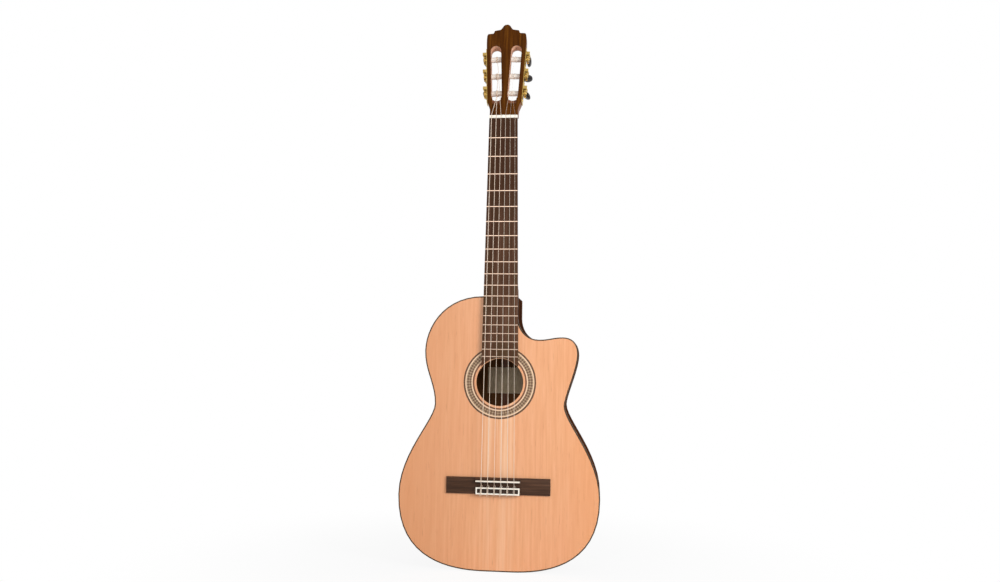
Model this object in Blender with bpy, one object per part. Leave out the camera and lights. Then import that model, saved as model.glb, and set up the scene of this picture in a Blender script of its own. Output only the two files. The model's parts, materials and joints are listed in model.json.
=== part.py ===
"""Cutaway classical guitar, standing on its tail with the soundboard facing -Y.

Metres. X runs to the treble side, Y to the back, Z along the neck. The origin is the
middle of the flat tail, half way through the depth of the ribs.
"""
from math import atan2, cos, pi, radians, sin, sqrt

import bmesh
import bpy
from mathutils import Matrix, Vector

for old in list(bpy.data.objects):
    bpy.data.objects.remove(old, do_unlink=True)

# Fits
GLUE = 0.00012                # glue line between two fitted pieces
FIT = 0.0003                  # loose fit between two pieces
RUN = 0.0002                  # running clearance of a turning piece

# Body
BODY_LENGTH = 0.4825
TAIL_FLAT = 0.023
LOWER_BOUT = 0.3570
LOWER_BOUT_Z = 0.2665 * BODY_LENGTH
LOWER_TAIL_HANDLE = 0.037
LOWER_SIDE_HANDLE = 0.134
LOWER_WAIST_HANDLE = 0.072
WAIST = 0.2320
WAIST_Z = 0.599 * BODY_LENGTH
WAIST_HANDLE = 0.028
UPPER_BOUT = 0.2716
UPPER_BOUT_Z = 0.7938 * BODY_LENGTH
UPPER_WAIST_HANDLE = 0.035
UPPER_BOUT_HANDLE = 0.036
SHOULDER_SIDE_HANDLE = 0.0437
SHOULDER_NECK_HANDLE = 0.0722
LOWER_STEPS = 18              # flats of each curve of the outline
WAIST_STEPS = 12
BOUT_STEPS = 9
SHOULDER_STEPS = 13
DEPTH_TAIL = 0.100
DEPTH_NECK = 0.094
BACK_ARCH = 0.004
FRONT = -0.050                # outer face of the soundboard
TOP_THICKNESS = 0.0025
BACK_THICKNESS = 0.0025
BACK_RINGS = (1.0, 0.78, 0.52, 0.26)      # rows of points of the arched back, as shares of its outline
RIB_THICKNESS = 0.002
BINDING_DEPTH = 0.006
LINING_WIDTH = 0.006
LINING_DEPTH = 0.014
TAIL_GRAFT_WIDTH = 0.016
TAIL_BLOCK_WIDTH = 0.060
TAIL_BLOCK_THICKNESS = 0.014

# Cutaway on the treble side
HORN_HALF = 0.1388
HORN_Z = 0.787 * BODY_LENGTH
HORN_TOP_X = 0.1118
HORN_TOP_Z = 0.850 * BODY_LENGTH
CUTAWAY_LOW_X = 0.0690
CUTAWAY_LOW_Z = 0.8404 * BODY_LENGTH
CUTAWAY_SIDE_X = 0.0308
CUTAWAY_SIDE_Z = 0.9279 * BODY_LENGTH
CUTAWAY_CORNER = RIB_THICKNESS + 0.0004   # the rib's inner face keeps a small radius
HORN_WAIST_HANDLE = 0.017
HORN_LOWER_HANDLE = 0.026
HORN_SIDE_HANDLE = 0.0211
HORN_TOP_HANDLE = 0.0157
CUTAWAY_HANDLE = 0.0187
CUTAWAY_NECK_HANDLE = 0.0230
CUTAWAY_STEPS = 6
CUTAWAY_NECK_STEPS = 10

# Soundhole and rosette
HOLE_RADIUS = 0.0420
ROSETTE_INNER = 0.0457
ROSETTE_OUTER = 0.0648
ROSETTE_THICKNESS = 0.0012
HOLE_SIDES = 48

# Bracing under the soundboard and on the back
HARMONIC_WIDTH = 0.007
HARMONIC_HEIGHT = 0.015
HARMONIC_MARGIN = 0.014
STRUT_WIDTH = 0.006
STRUT_HEIGHT = 0.0045
STRUT_COUNT = 7
STRUT_SPACING = 0.017
FAN_END_Z = 0.1285 * BODY_LENGTH
CLOSING_LOW_Z = 0.0953 * BODY_LENGTH
BACK_BAR_WIDTH = 0.008
BACK_BAR_HEIGHT = 0.014
BACK_BAR_Z = (0.187 * BODY_LENGTH, 0.518 * BODY_LENGTH, 0.798 * BODY_LENGTH)
CENTRE_STRIP_WIDTH = 0.016
CENTRE_STRIP_HEIGHT = 0.003

# Neck and fretboard
SCALE_LENGTH = 0.650
NUT_WIDTH = 0.0515
JOIN_WIDTH = 0.0615
BOARD_THICKNESS = 0.006
BOARD_END_MARGIN = 0.0012     # from the edge of the soundhole to the end of the board
LAST_FRET_MARGIN = 0.0022     # from the end of the board to the last fret
FRET_COUNT = 19
FRET_CROWN_WIDTH = 0.0021
FRET_CROWN_HEIGHT = 0.0010
FRET_FLAT = 0.6               # share of the crown's width that is flat
FRET_TANG_WIDTH = 0.0006
FRET_TANG_DEPTH = 0.0016
SHAFT_DEPTH = 0.0160
SHAFT_DEPTH_JOIN = 0.0180
SHAFT_FULLNESS = 1.03         # 1 is a half round back, and a larger number is squarer
HEEL_FULLNESS = 1.10
FOOT_FULLNESS = 8.0
HEEL_CAP_LENGTH = 0.013
HEEL_CAP_PARTS = (0.0, 0.6, 1.0)
HEEL_CURVE_LENGTH = 0.045
HEEL_CURVE_PARTS = (0.06, 0.16, 0.30, 0.50, 0.75, 1.0)
THROAT_SHAPE = ((0.0, SHAFT_FULLNESS), (0.45, 1.15), (0.75, 1.5), (1.0, 3.0))   # (part, fullness)
FOOT_LENGTH = 0.056
CORE_HALF = 0.014
NUT_THICKNESS = 0.0055
NUT_HEIGHT = 0.0088
NUT_SLOT_DEPTH = 0.0008
NUT_STRING_SPAN = 0.0430

# Headstock
HEAD_TILT = radians(11)
HEAD_THICKNESS = 0.018
VENEER_THICKNESS = 0.002
HEAD_LENGTH = 0.190
HEAD_NECK_S = 0.012
HEAD_NECK_HANDLE = 0.0096
HEAD_LOWER_HALF = 0.0318
HEAD_LOWER_S = 0.036
HEAD_LOWER_HANDLE = 0.010
HEAD_UPPER_HALF = 0.0372
HEAD_UPPER_S = 0.150
CROWN_SIDE_S = 0.160
CROWN_SHOULDER_S = 0.1708
CROWN_SHOULDER_X = 0.0325
CROWN_NOTCH_X = 0.0268
CROWN_STEP_S = 0.1772
CROWN_STEP_X = 0.0226
CROWN_LOBE_X = 0.0150
CROWN_LOBE_S = 0.1785
CROWN_HANDLE = 0.002
CROWN_STEP_HANDLE = 0.003
CROWN_LOBE_HANDLE = 0.0080
CROWN_TIP_HANDLE = 0.0090
SLOT_WALL = 0.0074
SLOT_WIDTH = 0.0196
SLOT_LOW_S = 0.0310
SLOT_HIGH_S = 0.1450
RAMP_LENGTH = 0.0234
RAMP_DEPTH = 0.005
RAMP_MARGIN = 0.0021

# Tuning machines
TUNER_SPACING = 0.0354
TUNER_MIDDLE_S = 0.0845
ROLLER_RADIUS = 0.0050
ROLLER_NECK_RADIUS = 0.0030
ROLLER_PIN_LENGTH = 0.0035
PLATE_THICKNESS = 0.0012
PLATE_WIDTH = 0.0165
PLATE_END = 0.0200
COG_TEETH = 14
COG_MODULE = 0.0010
COG_WIDTH = 0.0036
COG_FOOT = 1.42               # half widths of a tooth and of a thread, in quarters of the pitch
COG_TOP = 0.50
THREAD_FOOT = 1.40
THREAD_TOP = 0.62
WORM_PITCH_RADIUS = 0.0025
THREAD_ADDENDUM = 0.0007
THREAD_DEDENDUM = 0.00095
THREAD_BACKLASH = 0.00025
WORM_LENGTH = 0.0110
EAR_THICKNESS = 0.0024
EAR_WALL = 0.0016
STEM_LENGTH = 0.0060
STEM_START_FLARE = 1.6        # radius of the stem at its two ends, as shares of the worm's shaft
STEM_END_FLARE = 1.4
BUTTON_LENGTH = 0.0170
BUTTON_HALF_WIDTH = 0.0088
BUTTON_HALF_THICKNESS = 0.0042
BUTTON_SHAPE = ((0.0, 0.35, 0.70), (0.12, 0.66, 0.90), (0.35, 0.95, 1.0),   # (part of its length,
                (0.62, 1.0, 1.0), (0.86, 0.80, 0.82), (1.0, 0.42, 0.50))    # of its width, thickness)
BUTTON_TURNS = (-38, 4, 88, 60, 75, 50)   # degrees, first string to sixth

# Bridge and strings
BRIDGE_WIDTH = 0.1840
BRIDGE_LENGTH = 0.0290
WING_HEIGHT = 0.0032
TIE_WIDTH = 0.0800
TIE_HEIGHT = 0.0090
TIE_LENGTH = 0.0125
SADDLE_RIDGE = 0.0095
SADDLE_RIDGE_HEIGHT = 0.0075
SADDLE_SETBACK = 0.0062
SADDLE_THICKNESS = 0.0026
SADDLE_WIDTH = 0.0778
SADDLE_SLOT_DEPTH = 0.0040
SADDLE_TOP = 0.0118
SADDLE_COMPENSATION = 0.0015
SADDLE_CREST = 0.35           # flat of the rounded top and depth of its rounding, as shares of half
SADDLE_ROUNDING = 0.6         # the saddle's thickness
INLAY_WIDTH = 0.0772
INLAY_BORDER = 0.0024
INLAY_THICKNESS = 0.0010
TIE_HOLE_RADIUS = 0.0011
TIE_HOLE_HEIGHT = 0.0050
STRING_SPAN = 0.0580
STRING_INSET = 0.0024         # from the middle of a roller to its string, towards the middle of the head
STRING_RADII = (0.00036, 0.00041, 0.00051, 0.00038, 0.00046, 0.00055)

# Derived places
NUT_Z = BODY_LENGTH + SCALE_LENGTH / 2
HEAD_Z = NUT_Z + NUT_THICKNESS
LAST_FRET_Z = NUT_Z - SCALE_LENGTH * (1 - 2 ** (-FRET_COUNT / 12))
HOLE_Z = LAST_FRET_Z - LAST_FRET_MARGIN - BOARD_END_MARGIN - HOLE_RADIUS
SADDLE_Z = NUT_Z - SCALE_LENGTH - SADDLE_COMPENSATION
INNER = RIB_THICKNESS + GLUE
FOOT_HALF = CUTAWAY_SIDE_X - INNER - FIT
BOARD_BACK = FRONT - GLUE
BOARD_FACE = BOARD_BACK - BOARD_THICKNESS


def material(name, colour, roughness, metallic=0.0):
    """A plain finish: one colour, one roughness."""
    finish = bpy.data.materials.new(name)
    finish.use_nodes = True
    shader = finish.node_tree.nodes["Principled BSDF"]
    shader.inputs["Base Color"].default_value = (*colour, 1.0)
    shader.inputs["Roughness"].default_value = roughness
    shader.inputs["Metallic"].default_value = metallic
    return finish


CEDAR = material("cedar", (0.73, 0.37, 0.18), 0.30)
ROSEWOOD = material("rosewood", (0.12, 0.045, 0.025), 0.35)
MAHOGANY = material("mahogany", (0.30, 0.13, 0.06), 0.40)
SPRUCE = material("spruce", (0.72, 0.52, 0.32), 0.60)
BONE = material("bone", (0.86, 0.82, 0.70), 0.35)
GOLD = material("gold", (0.72, 0.50, 0.16), 0.25, 1.0)
NICKEL = material("nickel", (0.70, 0.69, 0.66), 0.25, 1.0)
BUTTON_BLACK = material("button_black", (0.02, 0.015, 0.015), 0.15)
ROLLER_WHITE = material("roller_white", (0.85, 0.84, 0.80), 0.35)
NYLON = material("nylon", (0.82, 0.78, 0.68), 0.30)


def place(name, mesh_build, finish, parent=None):
    """Make a named object from a filled bmesh, closed and facing out."""
    bmesh.ops.remove_doubles(mesh_build, verts=mesh_build.verts, dist=1e-7)
    bmesh.ops.recalc_face_normals(mesh_build, faces=mesh_build.faces)
    mesh = bpy.data.meshes.new(name)
    mesh_build.to_mesh(mesh)
    mesh_build.free()
    mesh.shade_smooth()
    mesh.set_sharp_from_angle(angle=radians(35))
    mesh.materials.append(finish)
    piece = bpy.data.objects.new(name, mesh)
    bpy.context.scene.collection.objects.link(piece)
    piece.parent = parent
    return piece


def add_loft(build, rings):
    """Skin a row of rings of equally many points, and close both ends."""
    rows = [[build.verts.new(point) for point in ring] for ring in rings]
    count = len(rows[0])
    for low, high in zip(rows, rows[1:]):
        for k in range(count):
            build.faces.new((low[k], low[(k + 1) % count], high[(k + 1) % count], high[k]))
    build.faces.new(rows[0][::-1])
    build.faces.new(rows[-1])


def loft(name, rings, finish, parent=None):
    build = bmesh.new()
    add_loft(build, rings)
    return place(name, build, finish, parent)


def plate_rings(outline, y_low, y_high):
    """Two copies of an (x, z) outline, for a plate that lies across Y."""
    return [[(x, y, z) for x, z in outline] for y in (y_low, y_high)]


def block_rings(x, y, z):
    """The eight corners of a block, as two rings; each argument is (low, high)."""
    corners = ((x[0], y[0]), (x[1], y[0]), (x[1], y[1]), (x[0], y[1]))
    return [[(a, b, c) for a, b in corners] for c in z]


def circle(radius, count, middle=(0.0, 0.0)):
    turns = [2 * pi * k / count for k in range(count)]
    return [(middle[0] + radius * cos(a), middle[1] + radius * sin(a)) for a in turns]


def cutter(name, build, parent=None):
    """A tool solid that shapes another piece and is not a piece itself."""
    tool = place(name, build, SPRUCE, parent)
    tool.hide_render = True
    tool.display_type = "WIRE"
    return tool


def boolean(piece, tool, operation):
    change = piece.modifiers.new(operation.lower() + "_" + tool.name, "BOOLEAN")
    change.operation = operation
    change.object = tool
    change.solver = "EXACT"


def bezier(start, start_handle, end_handle, end, steps):
    """Points of a cubic curve without its first point."""
    points = []
    for k in range(1, steps + 1):
        t = k / steps
        weights = ((1 - t) ** 3, 3 * t * (1 - t) ** 2, 3 * t * t * (1 - t), t ** 3)
        corners = (start, start_handle, end_handle, end)
        points.append(tuple(sum(w * c[i] for w, c in zip(weights, corners)) for i in (0, 1)))
    return points


# The body's outline as (x, z), from the tail up one side to the heel
def lower_side():
    tail = (TAIL_FLAT / 2, 0.0)
    bout = (LOWER_BOUT / 2, LOWER_BOUT_Z)
    waist = (WAIST / 2, WAIST_Z)
    points = [(TAIL_GRAFT_WIDTH / 2 + GLUE, 0.0), tail]
    points += bezier(tail, (tail[0] + LOWER_TAIL_HANDLE, 0.0),
                     (bout[0], bout[1] - LOWER_SIDE_HANDLE), bout, LOWER_STEPS)
    points += bezier(bout, (bout[0], bout[1] + LOWER_WAIST_HANDLE),
                     (waist[0], waist[1] - WAIST_HANDLE), waist, WAIST_STEPS)
    return points


def bass_side():
    waist = (WAIST / 2, WAIST_Z)
    bout = (UPPER_BOUT / 2, UPPER_BOUT_Z)
    neck = (JOIN_WIDTH / 2, BODY_LENGTH)
    points = lower_side()
    points += bezier(waist, (waist[0], waist[1] + UPPER_WAIST_HANDLE),
                     (bout[0], bout[1] - UPPER_BOUT_HANDLE), bout, BOUT_STEPS)
    points += bezier(bout, (bout[0], bout[1] + SHOULDER_SIDE_HANDLE),
                     (neck[0] + SHOULDER_NECK_HANDLE, neck[1]), neck, SHOULDER_STEPS)
    points.append((CORE_HALF + GLUE, BODY_LENGTH))
    return [(-x, z) for x, z in points]


def treble_side():
    waist = (WAIST / 2, WAIST_Z)
    horn = (HORN_HALF, HORN_Z)
    horn_top = (HORN_TOP_X, HORN_TOP_Z)
    low = (CUTAWAY_LOW_X, CUTAWAY_LOW_Z)
    side = (CUTAWAY_SIDE_X, CUTAWAY_SIDE_Z)
    corner = (CUTAWAY_SIDE_X - CUTAWAY_CORNER, BODY_LENGTH - CUTAWAY_CORNER)
    points = lower_side()
    points += bezier(waist, (waist[0], waist[1] + HORN_WAIST_HANDLE),
                     (horn[0], horn[1] - HORN_LOWER_HANDLE), horn, BOUT_STEPS)
    points += bezier(horn, (horn[0], horn[1] + HORN_SIDE_HANDLE),
                     (horn_top[0] + HORN_TOP_HANDLE, horn_top[1]), horn_top, BOUT_STEPS)
    points += bezier(horn_top, (horn_top[0] - CUTAWAY_HANDLE, horn_top[1]),
                     (low[0] + CUTAWAY_HANDLE, low[1]), low, CUTAWAY_STEPS)
    points += bezier(low, (low[0] - CUTAWAY_NECK_HANDLE, low[1]),
                     (side[0], side[1] - CUTAWAY_NECK_HANDLE), side, CUTAWAY_NECK_STEPS)
    points += [(corner[0] + CUTAWAY_CORNER * cos(a), corner[1] + CUTAWAY_CORNER * sin(a))
               for a in (k * pi / 8 for k in range(5))]
    points.append((CORE_HALF + GLUE, BODY_LENGTH))
    return points


def inset(path, distance):
    """Move an open path to its inner side; every edge moves by the same distance."""
    inward = 1.0 if path[-1][0] < 0 else -1.0
    moved = []
    for k, (x, z) in enumerate(path):
        pairs = []
        if k > 0:
            pairs.append((path[k - 1], path[k]))
        if k < len(path) - 1:
            pairs.append((path[k], path[k + 1]))
        normals = []
        for (ax, az), (bx, bz) in pairs:
            length = sqrt((bx - ax) ** 2 + (bz - az) ** 2)
            normals.append((inward * (bz - az) / length, -inward * (bx - ax) / length))
        nx = sum(n[0] for n in normals) / len(normals)
        nz = sum(n[1] for n in normals) / len(normals)
        shrink = nx * nx + nz * nz
        moved.append((x + distance * nx / shrink, z + distance * nz / shrink))
    return moved


def back_face(x, z):
    """Outer face of the arched back, which also tapers towards the neck."""
    depth = DEPTH_TAIL - (DEPTH_TAIL - DEPTH_NECK) * z / BODY_LENGTH
    return FRONT + depth - BACK_ARCH * (x / (LOWER_BOUT / 2)) ** 2


def from_front(depth):
    return lambda x, z: FRONT + depth


def from_back(depth):
    return lambda x, z: back_face(x, z) - depth


def strip(name, path, section, finish):
    """Sweep a section along a path; a corner is (inset, height rule)."""
    lines = [inset(path, distance) for distance, _ in section]
    rings = []
    for k in range(len(path)):
        corners = [(line[k], rule) for line, (_, rule) in zip(lines, section)]
        rings.append([(x, rule(x, z), z) for (x, z), rule in corners])
    return loft(name, rings, finish)


BASS = bass_side()
TREBLE = treble_side()
LOWER_COUNT = len(lower_side())


def whole_path(distance=0.0):
    """From the bass side of the heel, round the tail, to its treble side."""
    return inset(BASS, distance)[::-1] + inset(TREBLE, distance)


def flat_section(outer, inner, low, high):
    return [(outer, low), (inner, low), (inner, high), (outer, high)]


def reach_count(path, clear):
    """How many points a path has before its last ones come near the heel."""
    count = len(path)
    while abs(path[count - 1][0]) < clear:
        count -= 1
    return count


def band(name, outer, inner, low, high, clear, finish):
    """A band round the body that stops short of the heel on both sides."""
    rings = []
    for path, order in ((BASS, -1), (TREBLE, 1)):
        count = reach_count(path, clear)
        outside = inset(path, outer)[:count][::order]
        inside = inset(path, inner)[:count][::order]
        for (ox, oz), (ix, iz) in zip(outside, inside):
            rings.append([(ox, low(ox, oz), oz), (ix, low(ix, iz), iz),
                          (ix, high(ix, iz), iz), (ox, high(ox, oz), oz)])
    return loft(name, rings, finish)


# Soundboard with its soundhole, and the rosette let into it
def soundboard():
    board = loft("soundboard", plate_rings(whole_path(INNER), FRONT, FRONT + TOP_THICKNESS), CEDAR)
    cuts = bmesh.new()
    add_loft(cuts, plate_rings(circle(HOLE_RADIUS, HOLE_SIDES, (0, HOLE_Z)),
                               FRONT - TOP_THICKNESS, FRONT + 2 * TOP_THICKNESS))
    boolean(board, cutter("soundhole_cut", cuts), "DIFFERENCE")
    channel = bmesh.new()
    add_ring(channel, ROSETTE_INNER - GLUE, ROSETTE_OUTER + GLUE,
             FRONT - TOP_THICKNESS, FRONT + ROSETTE_THICKNESS + GLUE)
    boolean(board, cutter("rosette_channel", channel), "DIFFERENCE")
    rosette = bmesh.new()
    add_ring(rosette, ROSETTE_INNER, ROSETTE_OUTER, FRONT, FRONT + ROSETTE_THICKNESS)
    place("rosette", rosette, ROSEWOOD)


def add_ring(build, inner, outer, y_low, y_high):
    """A flat ring about the middle of the soundhole."""
    corners = ((inner, y_low), (outer, y_low), (outer, y_high), (inner, y_high))
    loops = []
    for radius, y in corners:
        points = circle(radius, HOLE_SIDES, (0, HOLE_Z))
        loops.append([build.verts.new((x, y, z)) for x, z in points])
    for a, b in zip(loops, loops[1:] + loops[:1]):
        for k in range(HOLE_SIDES):
            n = (k + 1) % HOLE_SIDES
            build.faces.new((a[k], a[n], b[n], b[k]))


# Arched back, with the button that covers the end of the heel
def back_plate():
    outline = whole_path(INNER)
    turns = [pi * k / 8 for k in range(9)]
    button = [(CORE_HALF * cos(a), BODY_LENGTH + HEEL_CAP_LENGTH * sin(a)) for a in turns]
    outline = outline + button
    middle = (0.0, (LOWER_BOUT_Z + UPPER_BOUT_Z) / 2)
    build = bmesh.new()
    faces = []
    for depth in (0.0, BACK_THICKNESS):
        rows = []
        for share in BACK_RINGS:
            row = []
            for x, z in outline:
                px = middle[0] + share * (x - middle[0])
                pz = middle[1] + share * (z - middle[1])
                row.append(build.verts.new((px, back_face(px, pz) - depth, pz)))
            rows.append(row)
        centre = build.verts.new((middle[0], back_face(*middle) - depth, middle[1]))
        count = len(outline)
        for low, high in zip(rows, rows[1:]):
            for k in range(count):
                build.faces.new((low[k], low[(k + 1) % count], high[(k + 1) % count], high[k]))
        for k in range(count):
            build.faces.new((rows[-1][k], rows[-1][(k + 1) % count], centre))
        faces.append(rows[0])
    outer, inner = faces
    for k in range(len(outer)):
        n = (k + 1) % len(outer)
        build.faces.new((outer[k], outer[n], inner[n], inner[k]))
    place("back", build, ROSEWOOD)


# Ribs, bindings, linings and the two blocks that the ribs close on
def sides():
    rib = flat_section(0.0, RIB_THICKNESS, from_front(BINDING_DEPTH + GLUE),
                       from_back(BINDING_DEPTH + GLUE))
    strip("rib_bass", BASS, rib, ROSEWOOD)
    strip("rib_treble", TREBLE, rib, ROSEWOOD)
    band("binding_top", 0.0, RIB_THICKNESS, from_front(0.0), from_front(BINDING_DEPTH),
         CORE_HALF, ROSEWOOD)
    band("binding_back", 0.0, RIB_THICKNESS, from_back(BINDING_DEPTH), from_back(0.0),
         CORE_HALF, ROSEWOOD)
    graft_half = TAIL_GRAFT_WIDTH / 2
    edge = BINDING_DEPTH + GLUE
    corners = ((-graft_half, 0.0), (graft_half, 0.0),
               (graft_half, RIB_THICKNESS), (-graft_half, RIB_THICKNESS))
    loft("tail_graft", plate_rings(corners, FRONT + edge, back_face(graft_half, 0.0) - edge), ROSEWOOD)


def linings():
    clear = FOOT_HALF + 2 * LINING_WIDTH
    inner = INNER + LINING_WIDTH
    band("lining_top", INNER, inner, from_front(TOP_THICKNESS + GLUE),
         from_front(TOP_THICKNESS + LINING_DEPTH), clear, SPRUCE)
    band("lining_back", INNER, inner, from_back(BACK_THICKNESS + LINING_DEPTH),
         from_back(BACK_THICKNESS + FIT), clear, SPRUCE)


def tail_block():
    """A block behind the tail, notched round both linings."""
    count = sum(1 for x, _ in TREBLE[:LOWER_COUNT // 2] if x < TAIL_BLOCK_WIDTH / 2)
    notch = INNER + LINING_WIDTH + GLUE
    deep = INNER + TAIL_BLOCK_THICKNESS
    front_low = TOP_THICKNESS + FIT
    front_notch = TOP_THICKNESS + LINING_DEPTH + GLUE
    back_notch = BACK_THICKNESS + LINING_DEPTH + GLUE
    back_low = BACK_THICKNESS + FIT
    section = [(INNER, from_front(front_notch)), (notch, from_front(front_notch)),
               (notch, from_front(front_low)), (deep, from_front(front_low)),
               (deep, from_back(back_low)), (notch, from_back(back_low)),
               (notch, from_back(back_notch)), (INNER, from_back(back_notch))]
    lines = []
    for distance, _ in section:
        right = inset(TREBLE, distance)[:count]
        lines.append([(-x, z) for x, z in right[::-1]] + right)
    rings = []
    for k in range(2 * count):
        corners = [(line[k], rule) for line, (_, rule) in zip(lines, section)]
        rings.append([(x, rule(x, z), z) for (x, z), rule in corners])
    loft("tail_block", rings, MAHOGANY)


# Bars and struts under the soundboard, joined where they cross
def add_bar(build, start, end, width, height, seat):
    """A straight bar between two (x, z) points, standing on the soundboard's inner face."""
    run = Vector((end[0] - start[0], end[1] - start[1])).normalized()
    side = Vector((-run.y, run.x)) * width / 2
    ends = []
    for x, z in (start, end):
        corners = ((x + side.x, z + side.y, seat), (x - side.x, z - side.y, seat),
                   (x - side.x, z - side.y, seat + height), (x + side.x, z + side.y, seat + height))
        ends.append([(cx, y, cz) for cx, cz, y in corners])
    add_loft(build, ends)


def half_width(side, height, distance):
    """Half width of the body at a height, to a line that lies inside the outline."""
    line = inset(side, distance)
    for (ax, az), (bx, bz) in zip(line, line[1:]):
        if az <= height <= bz:
            return abs(ax + (bx - ax) * (height - az) / (bz - az))
    return abs(line[-1][0])


def top_bracing():
    seat = FRONT + TOP_THICKNESS + FIT
    reach = INNER + LINING_WIDTH + HARMONIC_WIDTH
    upper = HOLE_Z + HOLE_RADIUS + HARMONIC_MARGIN
    lower = HOLE_Z - HOLE_RADIUS - HARMONIC_MARGIN
    side_x = HOLE_RADIUS + HARMONIC_MARGIN
    bars = []
    for height in (lower, upper):
        ends = ((-half_width(BASS, height, reach), height), (half_width(TREBLE, height, reach), height))
        bars.append((*ends, HARMONIC_WIDTH, HARMONIC_HEIGHT))
    for x in (-side_x, side_x):
        bars.append(((x, lower), (x, upper), STRUT_WIDTH, STRUT_HEIGHT))
    spread = (BODY_LENGTH - FAN_END_Z) / (BODY_LENGTH - lower)
    for k in range(STRUT_COUNT):
        x = (k - (STRUT_COUNT - 1) / 2) * STRUT_SPACING
        bars.append(((x, lower), (x * spread, FAN_END_Z), STRUT_WIDTH, STRUT_HEIGHT))
    outer = (STRUT_COUNT - 1) / 2 * STRUT_SPACING * spread + STRUT_WIDTH
    for side in (-1, 1):
        ends = ((0.0, CLOSING_LOW_Z), (side * outer, FAN_END_Z + STRUT_WIDTH))
        bars.append((*ends, STRUT_WIDTH, STRUT_HEIGHT))
    first = bmesh.new()
    add_bar(first, *bars[0], seat)
    lattice = place("top_bracing", first, SPRUCE)
    for number, bar in enumerate(bars[1:]):
        more = bmesh.new()
        add_bar(more, *bar, seat)
        boolean(lattice, cutter("top_bar_cut_%d" % number, more), "UNION")


def add_back_bar(build, height):
    """A bar across the back whose seat follows the arch."""
    reach = INNER + LINING_WIDTH + HARMONIC_WIDTH
    low, high = -half_width(BASS, height, reach), half_width(TREBLE, height, reach)
    steps = 8
    rings = []
    for k in range(steps + 1):
        x = low + (high - low) * k / steps
        ring = []
        for z in (height - BACK_BAR_WIDTH / 2, height + BACK_BAR_WIDTH / 2):
            seat = back_face(x, z) - BACK_THICKNESS - FIT
            pair = [(x, seat, z), (x, seat - BACK_BAR_HEIGHT, z)]
            ring += pair if z < height else pair[::-1]
        rings.append(ring)
    add_loft(build, rings)


def back_bracing():
    low = INNER + TAIL_BLOCK_THICKNESS + FIT
    high = BODY_LENGTH - FOOT_LENGTH - FIT
    half = CENTRE_STRIP_WIDTH / 2
    rings = []
    for z in (low, high):
        seat = back_face(half, z) - BACK_THICKNESS - FIT
        rings.append([(-half, seat, z), (half, seat, z),
                      (half, seat - CENTRE_STRIP_HEIGHT, z), (-half, seat - CENTRE_STRIP_HEIGHT, z)])
    bracing = loft("back_bracing", rings, SPRUCE)
    for number, height in enumerate(BACK_BAR_Z):
        more = bmesh.new()
        add_back_bar(more, height)
        boolean(bracing, cutter("back_bar_cut_%d" % number, more), "UNION")


# Neck: foot inside the body, heel, and the rounded shaft behind the fretboard
def board_half(z):
    share = (NUT_Z - z) / (NUT_Z - BODY_LENGTH)
    return (NUT_WIDTH + (JOIN_WIDTH - NUT_WIDTH) * share) / 2


def neck_ring(z, front, half, depth, fullness):
    """A section with a flat front; a larger fullness squares off its back."""
    steps = 6
    profile = []
    for k in range(steps + 1):
        part = sin(pi / 2 * k / steps)
        profile.append((half * sqrt(1 - (part / fullness) ** 2), front + depth * part))
    return [(-x, y, z) for x, y in profile] + [(x, y, z) for x, y in profile[::-1]]


def neck():
    inside = FRONT + TOP_THICKNESS + GLUE
    heel_z = BODY_LENGTH + GLUE
    foot_top = BODY_LENGTH - INNER - GLUE
    rings = []
    for z, half in ((BODY_LENGTH - FOOT_LENGTH, FOOT_HALF), (foot_top, FOOT_HALF),
                    (foot_top, CORE_HALF), (heel_z, CORE_HALF)):
        depth = back_face(FOOT_HALF, z) - BACK_THICKNESS - FIT - inside
        rings.append(neck_ring(z, inside, half, depth, FOOT_FULLNESS))

    def shaft_depth(z):
        return SHAFT_DEPTH + (SHAFT_DEPTH_JOIN - SHAFT_DEPTH) * (NUT_Z - z) / (NUT_Z - BODY_LENGTH)

    for part in HEEL_CAP_PARTS:
        z = heel_z + HEEL_CAP_LENGTH * part
        depth = back_face(CORE_HALF, z) - BACK_THICKNESS - FIT - FRONT
        rings.append(neck_ring(z, FRONT, board_half(z) - GLUE, depth,
                               HEEL_FULLNESS - (HEEL_FULLNESS - SHAFT_FULLNESS) * part ** 2))
    cap_z = heel_z + HEEL_CAP_LENGTH
    cap_depth = back_face(CORE_HALF, cap_z) - BACK_THICKNESS - FIT - FRONT
    for part in HEEL_CURVE_PARTS:
        z = cap_z + HEEL_CURVE_LENGTH * part
        curve = 1 - sqrt(1 - (1 - part) ** 2)
        depth = shaft_depth(z) + (cap_depth - shaft_depth(z)) * curve
        rings.append(neck_ring(z, FRONT, board_half(z) - GLUE, depth, SHAFT_FULLNESS))
    throat = NUT_Z - NUT_WIDTH / 2
    for part, fullness in THROAT_SHAPE:
        z = throat + (HEAD_Z - throat) * part
        depth = SHAFT_DEPTH + (HEAD_THICKNESS / cos(HEAD_TILT) - SHAFT_DEPTH) * part ** 2
        rings.append(neck_ring(z, FRONT, board_half(z) - GLUE, depth, fullness))
    loft("neck", rings, MAHOGANY)


# Fretboard with its slots, frets and nut
def fret_z(number):
    return NUT_Z - SCALE_LENGTH * (1 - 2 ** (-number / 12))


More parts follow.
